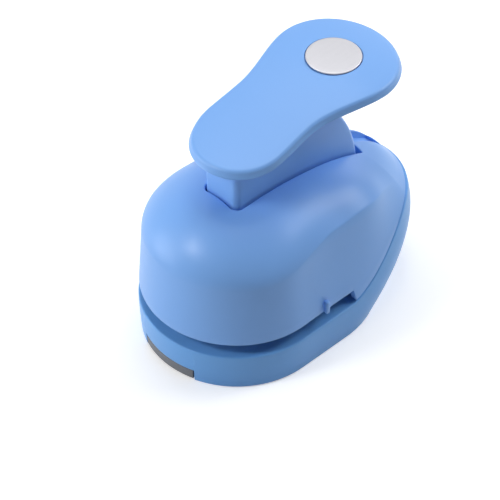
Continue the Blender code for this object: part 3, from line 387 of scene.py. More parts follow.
def join_loops(mesh, loops, around=False, closed=True, caps=()):
    """Quads between neighbouring loops, and a flat face on each loop that caps names."""
    rings = [[mesh.verts.new(point) for point in loop] for loop in loops]
    for ring, after in zip(rings, rings[1:] + rings[:1] if around else rings[1:]):
        for index in range(len(ring) if closed else len(ring) - 1):
            following = (index + 1) % len(ring)
            mesh.faces.new((ring[index], after[index], after[following], ring[following]))
    for cap in caps:
        mesh.faces.new(rings[cap])


# %% Finishing a piece
SHARP = math.radians(34)
WELD = 0.002 * MM


def add_object(name, data):
    made = bpy.data.objects.new(name, data)
    bpy.context.scene.collection.objects.link(made)
    return made


def finish_mesh(name, mesh):
    """Weld the points, shift them into the frame, and shade all but the sharp edges smooth."""
    bmesh.ops.remove_doubles(mesh, verts=mesh.verts, dist=WELD)
    bmesh.ops.dissolve_degenerate(mesh, edges=mesh.edges, dist=WELD / 2)
    bmesh.ops.recalc_face_normals(mesh, faces=mesh.faces)
    bmesh.ops.translate(mesh, verts=mesh.verts, vec=to_frame)
    data = bpy.data.meshes.new(name)
    mesh.to_mesh(data)
    mesh.free()
    data.shade_smooth()
    data.set_sharp_from_angle(angle=SHARP)
    print(name, "has", len(data.polygons), "faces")
    return add_object(name, data)


# %% Rounded blocks
BLOCK_STEPS = 3


def add_blocks(mesh, low, high, radius):
    """A box with rounded edges on each side of the body, for ribs and stops."""
    for side in (-1, 1):
        near, far = sorted((side * low[0], side * high[0]))
        starts, ends = (near, *low[1:]), (far, *high[1:])
        made = bmesh.ops.create_cube(mesh, size=1.0)["verts"]
        for vert in made:
            vert.co = Vector([mix(starts[axis], ends[axis], vert.co[axis] + 1 / 2)
                              for axis in range(3)])
        edges = list({edge for vert in made for edge in vert.link_edges})
        bmesh.ops.bevel(mesh, geom=edges, offset=radius, segments=BLOCK_STEPS, profile=0.5,
                        affect="EDGES", clamp_overlap=True)


# %% Flat patches
def raised(spots, height):
    """Points seen from above, all at one height."""
    return [Vector((*spot, height)) for spot in spots]


def inside(spot, polygon):
    """Even-odd test for a point and a polygon."""
    crossed = False
    for first, second in zip(polygon, polygon[1:] + polygon[:1]):
        if (first.y > spot.y) != (second.y > spot.y):
            share = (spot.y - first.y) / (second.y - first.y)
            if spot.x < first.x + share * (second.x - first.x):
                crossed = not crossed
    return crossed


def patch(mesh, outline, holes, height, extra=()):
    """Fill an outline with triangles, leave its holes open, and lift each point by height."""
    points, edges = [], []
    for loop in [outline] + list(holes):
        first = len(points)
        points += [spot.copy() for spot in loop]
        edges += [(first + index, first + (index + 1) % len(loop)) for index in range(len(loop))]
    points += list(extra)
    spots, _, faces, _, _, _ = delaunay_2d_cdt(points, edges, [], 0, WELD / 10)
    verts = [mesh.verts.new((*spot, height(spot))) for spot in spots]
    for face in faces:
        middle = sum((spots[index] for index in face), Vector((0, 0))) / len(face)
        if inside(middle, outline) and not any(inside(middle, hole) for hole in holes):
            mesh.faces.new([verts[index] for index in face])
    for vert in verts:
        if not vert.link_faces:
            mesh.verts.remove(vert)


# %% [markdown]
# ## The upper shell
#
# The shell is a hollow dome with walls 2.4 mm thick. Its edges carry the small radii that a
# mould leaves, since a perfectly sharp edge never catches the light the way plastic does. A
# solidify modifier would give the wall as well, but no lip with a radius of its own.
# Each loop runs up the outside, round the lip of the slot, down the inside and round the
# lower lip. Two rows close together at the crease keep it crisp but not razor sharp.

# %% Shell numbers
LIP = 0.45 * MM
INNER_LIP = 0.25 * MM
SLOT_LIP = 0.5 * MM
CREASE_SOFTNESS = 0.25 * MM
LEAST_FACET = 0.6
ARC_STEPS = 4
FACET_ROWS = 9
DOME_ROWS = 36
INNER_ROWS = 12


def quarter_angles(steps):
    return [QUARTER_TURN * step / steps for step in range(steps + 1)]


def moved(point, inward, reach, rise):
    """A point carried inwards and upwards."""
    return point + inward * reach + Vector((0, 0, rise))


quarter = quarter_angles(ARC_STEPS)
print("steps round a lip:", ARC_STEPS)

# %% Where a section of the shell stops
def lower_way(part, lip):
    """Way that is one lip above the shell's lower edge."""
    return find_way(part, lambda spot: spot.z > shell_edge(spot.y) + lip, BELT_WAY, HALF_DOME_WAY)


def slot_way(part, distance):
    """Way that comes this near to the opening."""
    return find_way(part, lambda spot: opening_distance(spot.xy) < distance, CREASE_WAY)


# %% Outside of one shell section
def shell_outside(part):
    """From the lower lip up the facet and over the dome."""
    start, stop = lower_way(part, LIP), slot_way(part, SLOT_LIP)
    corner, handle = part["dome"][0], part["dome"][1]
    facet_length = (corner - Vector((*part["belt"], part["belt_height"]))).length
    below = max(CREASE_WAY - CREASE_SOFTNESS / facet_length, mix(start, CREASE_WAY, LEAST_FACET))
    # A cubic curve leaves its corner three times as fast as its handle is long.
    over = CREASE_WAY + CREASE_SOFTNESS / (3 * (handle - corner).length)
    return climb(part, start, below, FACET_ROWS) + climb(part, over, stop, DOME_ROWS)


def slot_lip(part):
    """Rounded edge from the dome into the slot."""
    points = []
    for angle in quarter[1:]:
        way = slot_way(part, SLOT_LIP * (1 - math.sin(angle)) + WELD)
        points.append(on_section(part, way) - Vector((0, 0, SLOT_LIP * (1 - math.cos(angle)))))
    return points


# %% Floor of the groove
GROOVE_START = 76.7 * MM
GROOVE_DROP = 2.6 * MM
GROOVE_KNEE = (82.4 * MM, 44.7 * MM)
GROOVE_LOW = 38.5 * MM


def groove_floor(place):
    """Height of the groove's floor, which falls towards the heel."""
    start, end = (GROOVE_START, crown_height(SLOT_REAR) - GROOVE_DROP), (GROOVE_END, GROOVE_LOW)
    first, second = (start, GROOVE_KNEE) if place < GROOVE_KNEE[0] else (GROOVE_KNEE, end)
    return mix(first[1], second[1], (place - first[0]) / (second[0] - first[0]))


# %% Inside of one shell section
GROOVE_WALL = 1.5 * MM
GROOVE_BLEND = MM / 2
GROOVE_SINK = MM


def shell_inside(part, foot):
    """From the slot's wall down to the inner edge of the lower lip."""
    deep = smooth(SLOT_REAR - GROOVE_BLEND, SLOT_REAR + GROOVE_BLEND, foot.y)
    top = slot_way(part, GROOVE_WALL)
    first = on_section(part, top)
    foot_height = mix(first.z, min(first.z, groove_floor(foot.y) - GROOVE_SINK), deep)
    points = [Vector((foot.x, foot.y, foot_height)), Vector((first.x, first.y, foot_height))]
    return points + climb(part, top, lower_way(part, INNER_LIP), INNER_ROWS)


# %% The closed loop of one shell section
def shell_loop(travel):
    outer, inner = section(travel, 0.0), section(travel, WALL)
    outside, lip = shell_outside(outer), slot_lip(outer)
    within = shell_inside(inner, lip[-1])
    inward = Vector((*outer["run"], 0))
    lower = [moved(within[-1], inward, -INNER_LIP * (1 - math.cos(angle)),
                   -INNER_LIP * math.sin(angle)) for angle in quarter[1:]]
    lower += [moved(outside[0], inward, LIP * (1 - math.sin(angle)), -LIP * math.cos(angle))
              for angle in quarter[:-1]]
    return outside + lip + within + lower


# %% Build the shell
shell_mesh = bmesh.new()
join_loops(shell_mesh, mirrored_loops([shell_loop(travel) for travel in travels]), around=True)

# %% [markdown]
# A floor closes the groove, and a small upright rib on each side shows where the centre of
# the cut will be. The rib is a rounded block that stands a little proud of the wall.

# %% Groove floor and alignment ribs
RIB_HALF = 0.75 * MM
RIB_PROUD = 0.6 * MM
RIB_TOP = 23.5 * MM
RIB_EDGE = 0.5 * MM
PUNCH_PLACE = 41.1 * MM
FLOOR_THICKNESS = 1.1 * MM
FLOOR_MARGIN = MM / 2
floor_half = GROOVE_HALF + FLOOR_MARGIN
floor_loops = []
for step in range(GROOVE_STEPS + 1):
    place = mix(SLOT_REAR, GROOVE_END + FLOOR_MARGIN, step / GROOVE_STEPS)
    high = groove_floor(min(place, GROOVE_END))
    low = high - FLOOR_THICKNESS
    floor_loops.append([Vector((-floor_half, place, low)), Vector((floor_half, place, low)),
                        Vector((floor_half, place, high)), Vector((-floor_half, place, high))])
join_loops(shell_mesh, floor_loops, caps=BOTH_ENDS)
add_blocks(shell_mesh, (HALF_WIDTH - WALL / 2, PUNCH_PLACE - RIB_HALF, RIM - FIT_GAP),
           (HALF_WIDTH + RIB_PROUD, PUNCH_PLACE + RIB_HALF, RIB_TOP), RIB_EDGE)
shell = finish_mesh("shell_moulding", shell_mesh)
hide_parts("upper_shell")
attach(shell, "housing")

# %% [markdown]
# ## The base
#
# The base is the lower half of the same form: a wall that follows the body, a flat deck that
# carries the steel plates, and a heel that rises behind the throat to meet the shell. At the
# nose a notch in the bottom edge leaves room for the tab of the chip cover. The base could be
# cut from a copy of the body, but loops of its own give it rounded lips and keep the seam an
# even gap.

# %% Base numbers
BASE_LIP = 0.5 * MM
FOOT_RADIUS = 0.6 * MM
INNER_FOOT = 0.3 * MM
NOTCH_HALF = 11.2 * MM
NOTCH_TOP = 4.4 * MM
CHIP_HOLE = 9.2 * MM
LOWER_ROWS = 14
INSIDE_ROWS = 5


def base_foot(travel):
    """Height of the base's bottom edge, which steps up over the notch."""
    across = plan_spot(travel, FLOOR_INSET, FLOOR_REAR).x
    return NOTCH_TOP if travel < SIDE_TRAVEL and across < NOTCH_HALF else 0.0


# %% The closed loop of one base section
def base_loop(travel):
    """Up the outside, over the lip, down past the deck and round the foot."""
    outer, inner = section(travel, 0.0), section(travel, WALL)
    foot = base_foot(travel)
    inward = Vector((*outer["run"], 0))
    stop = find_way(outer, lambda spot: spot.z > base_edge(spot.y) - BASE_LIP)
    points = climb(outer, at_height(outer, foot + FOOT_RADIUS), stop, LOWER_ROWS)
    last = points[-1]
    points += [moved(last, inward, BASE_LIP * (1 - math.cos(angle)), BASE_LIP * math.sin(angle))
               for angle in quarter[1:]]
    edge = on_section(inner, find_way(inner, lambda spot: spot.z > base_edge(spot.y)))
    lip = min(INNER_LIP, (edge.z - DECK) / 2)
    points += [moved(edge, inward, -lip * (1 - math.sin(angle)), -lip * (1 - math.cos(angle)))
               for angle in quarter]
    below_lip = at_height(inner, edge.z - lip)
    points += climb(inner, below_lip, at_height(inner, DECK), INSIDE_ROWS)[1:]
    deck_point = len(points) - 1
    points.append(on_section(inner, at_height(inner, DECK_UNDER)))
    bottom = on_section(inner, at_height(inner, foot + INNER_FOOT))
    points += [moved(bottom, inward, -INNER_FOOT * (1 - math.cos(angle)),
                     -INNER_FOOT * math.sin(angle)) for angle in quarter]
    points += [moved(points[0], inward, FOOT_RADIUS * (1 - math.sin(angle)),
                     -FOOT_RADIUS * math.cos(angle)) for angle in quarter[:-1]]
    return points, deck_point


# %% Wall of the base
NOTCH_STEP = LEAST_STEP / 50
notch_travel = math.asin(NOTCH_HALF / (HALF_WIDTH - FLOOR_INSET)) / QUARTER_TURN
base_travels = [value for value in travels if abs(value - notch_travel) > LEAST_STEP]
base_travels = sorted(base_travels + [notch_travel - NOTCH_STEP, notch_travel + NOTCH_STEP])
base_loops = [base_loop(travel) for travel in base_travels]
deck_row = base_loops[0][1]
base_mesh = bmesh.new()
all_loops = mirrored_loops([loop for loop, _ in base_loops])
join_loops(base_mesh, all_loops, around=True)
print("sections of the base:", len(all_loops))

# %% Deck with the chip hole
RING_CORNERS = 96


def turn_angles(count):
    return [2 * math.pi * step / count for step in range(count)]


def ring_spots(radius, place, count=RING_CORNERS):
    """Points on a circle about the middle line."""
    return [Vector((radius * math.cos(angle), place + radius * math.sin(angle)))
            for angle in turn_angles(count)]


chip_ring = ring_spots(CHIP_HOLE, PUNCH_PLACE)
for row, height in ((deck_row, DECK), (deck_row + 1, DECK_UNDER)):
    patch(base_mesh, [loop[row].xy for loop in all_loops], [chip_ring],
          lambda spot, level=height: level)
join_loops(base_mesh, [raised(chip_ring, DECK), raised(chip_ring, DECK_UNDER)])
print("deck height in millimetres:", round(DECK / MM, 1))

# %% Stop ribs behind the throat
STOP_OUTER = 26.6 * MM
STOP_INNER = 25.0 * MM
STOP_DEPTH = 2 * MM
STOP_SINK = MM
STOP_EDGE = 0.25 * MM
add_blocks(base_mesh, (STOP_INNER, THROAT_END, DECK - STOP_SINK),
           (STOP_OUTER, THROAT_END + STOP_DEPTH, RIM), STOP_EDGE)
base = finish_mesh("base_moulding", base_mesh)
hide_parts("base_housing")
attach(base, "housing")

# %% [markdown]
# ## The chip cover
#
# What is punched out falls into the base, and a thin cover under it keeps it there. Only its
# tab shows at the nose. A box with bevelled edges could be bent to the shape, but the plate
# and the tab fit at once when they are drawn from the body's own outline and sections.

# %% Plate of the chip cover
COVER_LOW = 0.6 * MM
COVER_HIGH = 2.4 * MM
COVER_EDGE = 0.3 * MM


def cover_outline(inset):
    spots = [plan_spot(travel, FLOOR_INSET + WALL + FIT_GAP + inset, FLOOR_REAR)
             for travel in even]
    return spots + [Vector((-spot.x, spot.y)) for spot in spots[-2:0:-1]]


cover_mesh = bmesh.new()
levels = [(COVER_EDGE, COVER_LOW), (COVER_EDGE / 4, COVER_LOW + COVER_EDGE / 4),
          (0.0, COVER_LOW + COVER_EDGE), (0.0, COVER_HIGH)]
join_loops(cover_mesh, [raised(cover_outline(inset), height) for inset, height in levels],
           caps=BOTH_ENDS)
print("rows of the cover's rim:", len(levels))

# %% Tab of the chip cover
TAB_HALF = 10.9 * MM
TAB_TOP = 4.1 * MM
TAB_STEPS = 20
tab_limit = math.asin(TAB_HALF / HALF_WIDTH) / QUARTER_TURN
tab_loops = []
for step in range(-TAB_STEPS, TAB_STEPS + 1):
    travel = abs(tab_limit * step / TAB_STEPS)
    outer, inner = section(travel, 0.0), section(travel, WALL + COVER_EDGE)
    out_low = on_section(outer, at_height(outer, COVER_LOW + COVER_EDGE))
    out_high = on_section(outer, at_height(outer, TAB_TOP - COVER_EDGE))
    inward = Vector((*outer["run"], 0))
    in_spot = on_section(inner, 0.0).xy
    loop = [moved(out_low, inward, COVER_EDGE, -COVER_EDGE), out_low, out_high,
            moved(out_high, inward, COVER_EDGE, COVER_EDGE),
            Vector((*in_spot, TAB_TOP)), Vector((*in_spot, COVER_LOW))]
    side = 1 if step >= 0 else -1
    tab_loops.append([Vector((side * point.x, point.y, point.z)) for point in loop])
join_loops(cover_mesh, tab_loops, caps=BOTH_ENDS)
cover = finish_mesh("cover_moulding", cover_mesh)
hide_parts("chip_cover")
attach(cover, "housing")

# %% [markdown]
# ## The thumb lever
#
# The lever's pad is a long curved plate with a narrow waist and a wide rear lobe. Its top is
# a gentle arch in both directions, so its height is a simple function of the place seen from
# above. The rim is drawn as rows round the outline, and the top and underside are filled
# with triangles that leave a round pocket for the silver inlay. A subdivision cage would
# give as smooth a plate, but it pinches round such a pocket.

# %% Pad numbers
PAD_FRONT_TIP = 17.8 * MM
PAD_REAR_TIP = 93.4 * MM
PAD_FRONT_LOBE = 34.5 * MM
PAD_WAIST = 47.4 * MM
PAD_REAR_LOBE = 73.5 * MM
PAD_HALVES = (16.4 * MM, 16.0 * MM, 21.4 * MM)
PAD_HEIGHTS = (74.1 * MM, 84.98 * MM)
PAD_CLIMB = (12.1 * MM, 73.1 * MM)
PAD_DROOP = 1.6 * MM
PAD_CROWN = 1.4 * MM
PAD_THICKNESS = 3.0 * MM
PAD_LEAN = 0.5 * MM
PAD_TOP_ROUND = 1.3 * MM
PAD_LOW_ROUND = 0.8 * MM
INLAY_PLACE = 72.9 * MM
INLAY_RADIUS = 8.85 * MM
INLAY_THICKNESS = 0.8 * MM


def pad_arch(place):
    past = max((place - PAD_CLIMB[1]) / (PAD_REAR_TIP - PAD_CLIMB[1]), 0.0)
    return mix(*PAD_HEIGHTS, smooth(*PAD_CLIMB, place)) - PAD_DROOP * past ** 2


def pad_height(spot):
    return pad_arch(spot.y) + PAD_CROWN * (1 - (spot.x / PAD_HALVES[2]) ** 2)


# %% Pad outline
END_STEPS = 30
SIDE_STEPS = 16


def pad_half():
    """The right half of the outline, from the front tip to the rear tip."""
    front_reach, rear_reach = PAD_FRONT_LOBE - PAD_FRONT_TIP, PAD_REAR_TIP - PAD_REAR_LOBE
    end_angles = quarter_angles(END_STEPS)
    points = [Vector((PAD_HALVES[0] * math.sin(angle),
                      PAD_FRONT_LOBE - front_reach * math.cos(angle)))
              for angle in end_angles[:-1]]
    stages = ((PAD_FRONT_LOBE, PAD_HALVES[0], PAD_WAIST, PAD_HALVES[1]),
              (PAD_WAIST, PAD_HALVES[1], PAD_REAR_LOBE, PAD_HALVES[2]))
    for start, start_half, end, end_half in stages:
        for step in range(SIDE_STEPS):
            share = step / SIDE_STEPS
            half = mix(start_half, end_half, smooth(0, 1, share))
            points.append(Vector((half, mix(start, end, share))))
    points += [Vector((PAD_HALVES[2] * math.cos(angle),
                       PAD_REAR_LOBE + rear_reach * math.sin(angle))) for angle in end_angles]
    points[-1].x = 0.0
    return points


# %% Rounded rim of the pad
RIM_STEPS = 6
rim_angles = quarter_angles(RIM_STEPS)


def pad_loop(edge):
    """Points from the underside round the rim to the top, at one place on the outline."""
    share = (edge.y - PAD_FRONT_TIP) / (PAD_REAR_TIP - PAD_FRONT_TIP)
    front, rear = PAD_FRONT_TIP + PAD_HALVES[0], PAD_REAR_TIP - PAD_HALVES[2]
    inward = (Vector((0.0, mix(front, rear, share))) - edge).normalized()
    stations = [(PAD_LOW_ROUND * (1 - math.sin(angle)),
                 PAD_THICKNESS - PAD_LOW_ROUND * (1 - math.cos(angle))) for angle in rim_angles]
    stations += [(PAD_LEAN + PAD_TOP_ROUND * (1 - math.cos(angle)),
                  PAD_TOP_ROUND * (1 - math.sin(angle))) for angle in rim_angles]
    spots = [(edge + inward * reach, drop) for reach, drop in stations]
    return [Vector((*spot, pad_height(spot) - drop)) for spot, drop in spots]


pad_rows = mirrored_loops([pad_loop(edge) for edge in pad_half()])
lever_mesh = bmesh.new()
join_loops(lever_mesh, pad_rows, around=True, closed=False)
print("corners of the pad's outline:", len(pad_rows))

# %% Top and underside of the pad
GRID = 1.4 * MM
GRID_CLEAR = GRID * 0.6
GRID_SIDE, GRID_LONG = 16, 60
POCKET_GAP = 0.25 * MM
POCKET_ROUND = 0.2 * MM
pocket_radius = INLAY_RADIUS + POCKET_GAP
lip_radius = pocket_radius + POCKET_ROUND
centre = Vector((0, INLAY_PLACE))


def grid_inside(outline, keep_clear):
    """Even points inside the outline, a step away from it and from the pocket."""
    spots = []
    for across in range(-GRID_SIDE, GRID_SIDE + 1):
        for along in range(GRID_LONG):
            spot = Vector((across * GRID, PAD_FRONT_TIP + along * GRID))
            near = min((spot - corner).length for corner in outline)
            if near > GRID_CLEAR and inside(spot, outline):
                if (spot - centre).length > keep_clear + GRID_CLEAR:
                    spots.append(spot)
    return spots


low_outline = [row[0].xy for row in pad_rows]
top_outline = [row[-1].xy for row in pad_rows]
patch(lever_mesh, low_outline, [], lambda spot: pad_height(spot) - PAD_THICKNESS,
      grid_inside(low_outline, -GRID))
patch(lever_mesh, top_outline, [ring_spots(lip_radius, INLAY_PLACE)], pad_height,
      grid_inside(top_outline, lip_radius))

# %% Pocket for the inlay
pocket_floor = pad_height(centre) - INLAY_THICKNESS - FIT_GAP
pocket_rows = []
for angle in quarter:
    ring = ring_spots(pocket_radius + POCKET_ROUND * (1 - math.sin(angle)), INLAY_PLACE)
    drop = POCKET_ROUND * (1 - math.cos(angle))
    pocket_rows.append([Vector((*spot, pad_height(spot) - drop)) for spot in ring])
pocket_rows.append(raised(ring_spots(pocket_radius, INLAY_PLACE), pocket_floor))
join_loops(lever_mesh, pocket_rows, caps=(-1,))
print("pocket floor in millimetres:", round(pocket_floor / MM, 2))

# %% [markdown]
# The stem is a tall blade under the pad. Its front edge is upright with well rounded corners
# and its back is an arc round the pivot, so it slides past the end of the slot as the lever
# turns. A straight extrusion could not follow that arc, so the stem is stacked up from level
# outlines, the last of which lies inside the pad.

# %% Stem outline at one level
PIVOT = Vector((29.1 * MM, 42.0 * MM))
STEM_HALF = 7.4 * MM
STEM_FRONT = 24.7 * MM
STEM_FRONT_ROUND = 2.4 * MM
STEM_REAR_ROUND = 1.4 * MM
STEM_ARC = 48.7 * MM
STEM_ARC_TOP = math.radians(31)
STEM_FOOT = 44.0 * MM
STEM_FRONT_FAN, STEM_REAR_FAN = 10, 6
STEM_SIDE_STEPS = 14
STEM_LAYERS = 30


def stem_rear(height):
    """The arc round the pivot, then straight on along its tangent."""
    arc_top = PIVOT.y + STEM_ARC * math.sin(STEM_ARC_TOP)
    if height < arc_top:
        return PIVOT.x + math.sqrt(STEM_ARC ** 2 - (height - PIVOT.y) ** 2)
    arc_end = PIVOT.x + STEM_ARC * math.cos(STEM_ARC_TOP)
    return arc_end - (height - arc_top) * math.tan(STEM_ARC_TOP)


def stem_outline(rear):
    front_centre = Vector((STEM_HALF - STEM_FRONT_ROUND, STEM_FRONT + STEM_FRONT_ROUND))
    rear_centre = Vector((STEM_HALF - STEM_REAR_ROUND, rear - STEM_REAR_ROUND))
    right = [Vector((0, STEM_FRONT))]
    right += corner_fan(front_centre, STEM_FRONT_ROUND, -90, 0, STEM_FRONT_FAN)
    right += [Vector((STEM_HALF, mix(front_centre.y, rear_centre.y, step / STEM_SIDE_STEPS)))
              for step in range(1, STEM_SIDE_STEPS)]
    right += corner_fan(rear_centre, STEM_REAR_ROUND, 0, 90, STEM_REAR_FAN)
    right.append(Vector((0, rear)))
    return right + [Vector((-spot.x, spot.y)) for spot in right[-2:0:-1]]


# %% Build the stem
rear_top = PAD_HEIGHTS[1] - PAD_THICKNESS / 2
stem_tops = [pad_arch(spot.y) - PAD_THICKNESS / 2 for spot in stem_outline(stem_rear(rear_top))]
stem_loops = []
for layer in range(STEM_LAYERS + 1):
    share = layer / STEM_LAYERS
    spots = stem_outline(stem_rear(mix(STEM_FOOT, rear_top, share)))
    stem_loops.append([Vector((*spot, mix(STEM_FOOT, top, share)))
                       for spot, top in zip(spots, stem_tops)])
join_loops(lever_mesh, stem_loops, caps=BOTH_ENDS)
print("layers of the stem:", STEM_LAYERS)

# %% Foot of the stem with its pivot boss and press nose
PRESS = Vector((PUNCH_PLACE, 40.5 * MM))
PRESS_RADIUS = 4.0 * MM
PRESS_START = 246.8
BOSS_RADIUS = 4.8 * MM
BOSS_FAN, PRESS_FAN = 10, 14
FOOT_TOP = STEM_FOOT + MM / 5
FOOT_REAR = 43.6 * MM
PIN_HOLE = 2.2 * MM
PIN_CORNERS = 48
foot_outline = corner_fan(PIVOT, BOSS_RADIUS, 180, 270, BOSS_FAN)
foot_outline += corner_fan(PRESS, PRESS_RADIUS, PRESS_START, 360, PRESS_FAN)
foot_outline += [Vector((stem_rear(FOOT_REAR), FOOT_REAR)),
                 Vector((stem_rear(FOOT_TOP), FOOT_TOP)), Vector((STEM_FRONT, FOOT_TOP))]
pin_ring = [PIVOT + spot for spot in ring_spots(PIN_HOLE, 0.0, PIN_CORNERS)]
foot_mesh = bmesh.new()
for side in (-1, 1):
    first = len(foot_mesh.verts)
    patch(foot_mesh, foot_outline, [pin_ring], lambda spot: 0.0)
    foot_mesh.verts.ensure_lookup_table()
    for vert in foot_mesh.verts[first:]:
        vert.co = Vector((side * STEM_HALF, vert.co.x, vert.co.y))
for outline in (foot_outline, pin_ring):
    join_loops(foot_mesh, [[Vector((across, *spot)) for spot in outline]
                           for across in (-STEM_HALF, STEM_HALF)])
foot_data = bpy.data.meshes.new("stem_foot")
foot_mesh.to_mesh(foot_data)
foot_mesh.free()
lever_mesh.from_mesh(foot_data)
bpy.data.meshes.remove(foot_data)
lever = finish_mesh("lever_moulding", lever_mesh)
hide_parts("thumb_lever")
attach(lever, "lever")

# %% [markdown]
# ## The silver inlay
#
# The inlay is a thin stamped disc with a turned-down rim. A bevelled cylinder would be near
# enough from far away, but a lathe profile gives the soft rolled edge that catches a white
# line of light, and a slight crown keeps the top from reflecting like a mirror.

# %% Build the inlay
INLAY_ROLL = 0.35 * MM
INLAY_CROWN = 0.12 * MM
CROWN_RINGS = 9
inlay_low = pocket_floor + FIT_GAP
inlay_high = inlay_low + INLAY_THICKNESS
profile = [(INLAY_RADIUS - INLAY_ROLL, inlay_low), (INLAY_RADIUS, inlay_low + INLAY_ROLL)]
profile += [(INLAY_RADIUS - INLAY_ROLL * (1 - math.cos(angle)),
             inlay_high - INLAY_ROLL * (1 - math.sin(angle))) for angle in quarter]
for step in range(1, CROWN_RINGS):
    radius = (INLAY_RADIUS - INLAY_ROLL) * (1 - step / CROWN_RINGS)
    rise = INLAY_CROWN * (1 - (radius / INLAY_RADIUS) ** 2)
    profile.append((radius, inlay_high + rise))
inlay_mesh = bmesh.new()
join_loops(inlay_mesh, [raised(ring_spots(radius, INLAY_PLACE), height)
                        for radius, height in profile], caps=BOTH_ENDS)
inlay = finish_mesh("inlay_silver_disc", inlay_mesh)
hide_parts("inlay_disc")
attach(inlay, "lever")

# %% [markdown]
# ## The return spring
#
# A coil spring lifts the punch after each cut. It is a round wire swept along a helix, drawn
# as rings that face along the wire. A curve with a round bevel is quicker to draw, but it
# would have to become a mesh in the end.

# %% Build the spring
SPRING_RADIUS = 9.4 * MM
SPRING_WIRE = 0.55 * MM
SPRING_LOW = 21.95 * MM
SPRING_HIGH = 32.15 * MM
SPRING_TURNS = 4.5
POINTS_PER_TURN = 40
WIRE_CORNERS = 12
count = round(SPRING_TURNS * POINTS_PER_TURN)
slope = (SPRING_HIGH - SPRING_LOW) / SPRING_TURNS / (2 * math.pi * SPRING_RADIUS)
spring_loops = []
for step in range(count + 1):
    angle = 2 * math.pi * step / POINTS_PER_TURN
    out = Vector((math.cos(angle), math.sin(angle), 0))
    rise = mix(SPRING_LOW, SPRING_HIGH, step / count)
    middle = out * SPRING_RADIUS + Vector((0, PUNCH_PLACE, rise))
    across = Vector((-math.sin(angle), math.cos(angle), slope)).normalized().cross(out)
    spring_loops.append([middle + SPRING_WIRE * (math.cos(turn) * out + math.sin(turn) * across)
                         for turn in turn_angles(WIRE_CORNERS)])
spring_mesh = bmesh.new()
join_loops(spring_mesh, spring_loops, caps=BOTH_ENDS)
spring = finish_mesh("spring_wire", spring_mesh)
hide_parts("return_spring")
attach(spring, "housing")
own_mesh(spring)

# %% [markdown]
# ## Shared effects for the materials
#
# Moulded plastic is never one flat colour. Its tone drifts a little over the part, and its
# fine grain breaks up the highlights. Metal carries brushed lines. Painted textures could
# show the same, but noise needs no unwrapping and stays sharp close up. Each effect is a node
# group that is built once and used with its own values in every plastic or metal.

# %% A helper for node groups
def new_group(name, inputs, outputs):
    """Empty shader group with named sockets; returns it with its input and output nodes."""
    group = bpy.data.node_groups.new(name, "ShaderNodeTree")
    for label, kind, value in inputs:
        socket = group.interface.new_socket(name=label, in_out="INPUT",
                                            socket_type="NodeSocket" + kind)
        socket.default_value = value
    for label, kind in outputs:
        group.interface.new_socket(name=label, in_out="OUTPUT", socket_type="NodeSocket" + kind)
    return group, group.nodes.new("NodeGroupInput"), group.nodes.new("NodeGroupOutput")


def set_or_link(tree, value, socket):
    """A number goes on the socket, and an output is linked to it."""
    if isinstance(value, (int, float)):
        socket.default_value = value
    else:
        tree.links.new(value, socket)


def add_math(tree, operation, first, second):
    step = tree.nodes.new("ShaderNodeMath")
    step.operation = operation
    for socket, value in zip(step.inputs, (first, second)):
        set_or_link(tree, value, socket)
    return step.outputs[0]


# %% Helpers for noise
def add_noise(group, scale, detail, stretch=None):
    """Noise in the part's own places; its scale counts waves per metre."""
    places = group.nodes.new("ShaderNodeTexCoord")
    noise = group.nodes.new("ShaderNodeTexNoise")
    noise.inputs["Detail"].default_value = detail
    source = places.outputs["Object"]
    if stretch is not None:
        mapping = group.nodes.new("ShaderNodeMapping")
        mapping.inputs["Scale"].default_value = stretch
        group.links.new(source, mapping.inputs["Vector"])
        source = mapping.outputs["Vector"]
    group.links.new(source, noise.inputs["Vector"])
    set_or_link(group, scale, noise.inputs["Scale"])
    return noise.outputs["Fac"]


def about_zero(group, noise):
    """Noise runs from 0 to 1; less a half, it swings both ways."""
    return add_math(group, "SUBTRACT", noise, 1 / 2)


# %% Group: tone that drifts over a moulding
CLOUD_WAVES, CLOUD_DETAIL = 45.0, 2.0
FINE_WAVES, FINE_DETAIL, FINE_SHARE = 900.0, 3.0, 0.4
tone, tone_in, tone_out = new_group(
    "moulding_tone", [("Colour", "Color", (1, 1, 1, 1)), ("Drift", "Float", 0.03)],
    [("Colour", "Color")])
drift = about_zero(tone, add_noise(tone, CLOUD_WAVES, CLOUD_DETAIL))
fine = about_zero(tone, add_noise(tone, FINE_WAVES, FINE_DETAIL))
both = add_math(tone, "ADD", drift, add_math(tone, "MULTIPLY", fine, FINE_SHARE))
level = add_math(tone, "ADD", add_math(tone, "MULTIPLY", both, tone_in.outputs["Drift"]), 1.0)
scaled = tone.nodes.new("ShaderNodeVectorMath")
scaled.operation = "SCALE"
tone.links.new(tone_in.outputs["Colour"], scaled.inputs[0])
tone.links.new(level, scaled.inputs["Scale"])
tone.links.new(scaled.outputs[0], tone_out.inputs["Colour"])

# %% Group: fine grain left by the mould
GRAIN_DETAIL = 4.0
PATCH_WAVES, PATCH_DETAIL = 160.0, 3.0
grain, grain_in, grain_out = new_group(
    "moulding_grain",
    [("Scale", "Float", 1500.0), ("Roughness", "Float", 0.4), ("Spread", "Float", 0.1)],
    [("Height", "Float"), ("Roughness", "Float")])
spark = add_noise(grain, grain_in.outputs["Scale"], GRAIN_DETAIL)
cloud = about_zero(grain, add_noise(grain, PATCH_WAVES, PATCH_DETAIL))
varied = add_math(grain, "ADD", grain_in.outputs["Roughness"],
                  add_math(grain, "MULTIPLY", cloud, grain_in.outputs["Spread"]))
sparkle = add_math(grain, "MULTIPLY", about_zero(grain, spark), grain_in.outputs["Spread"])
grain.links.new(spark, grain_out.inputs["Height"])
grain.links.new(add_math(grain, "ADD", varied, sparkle), grain_out.inputs["Roughness"])

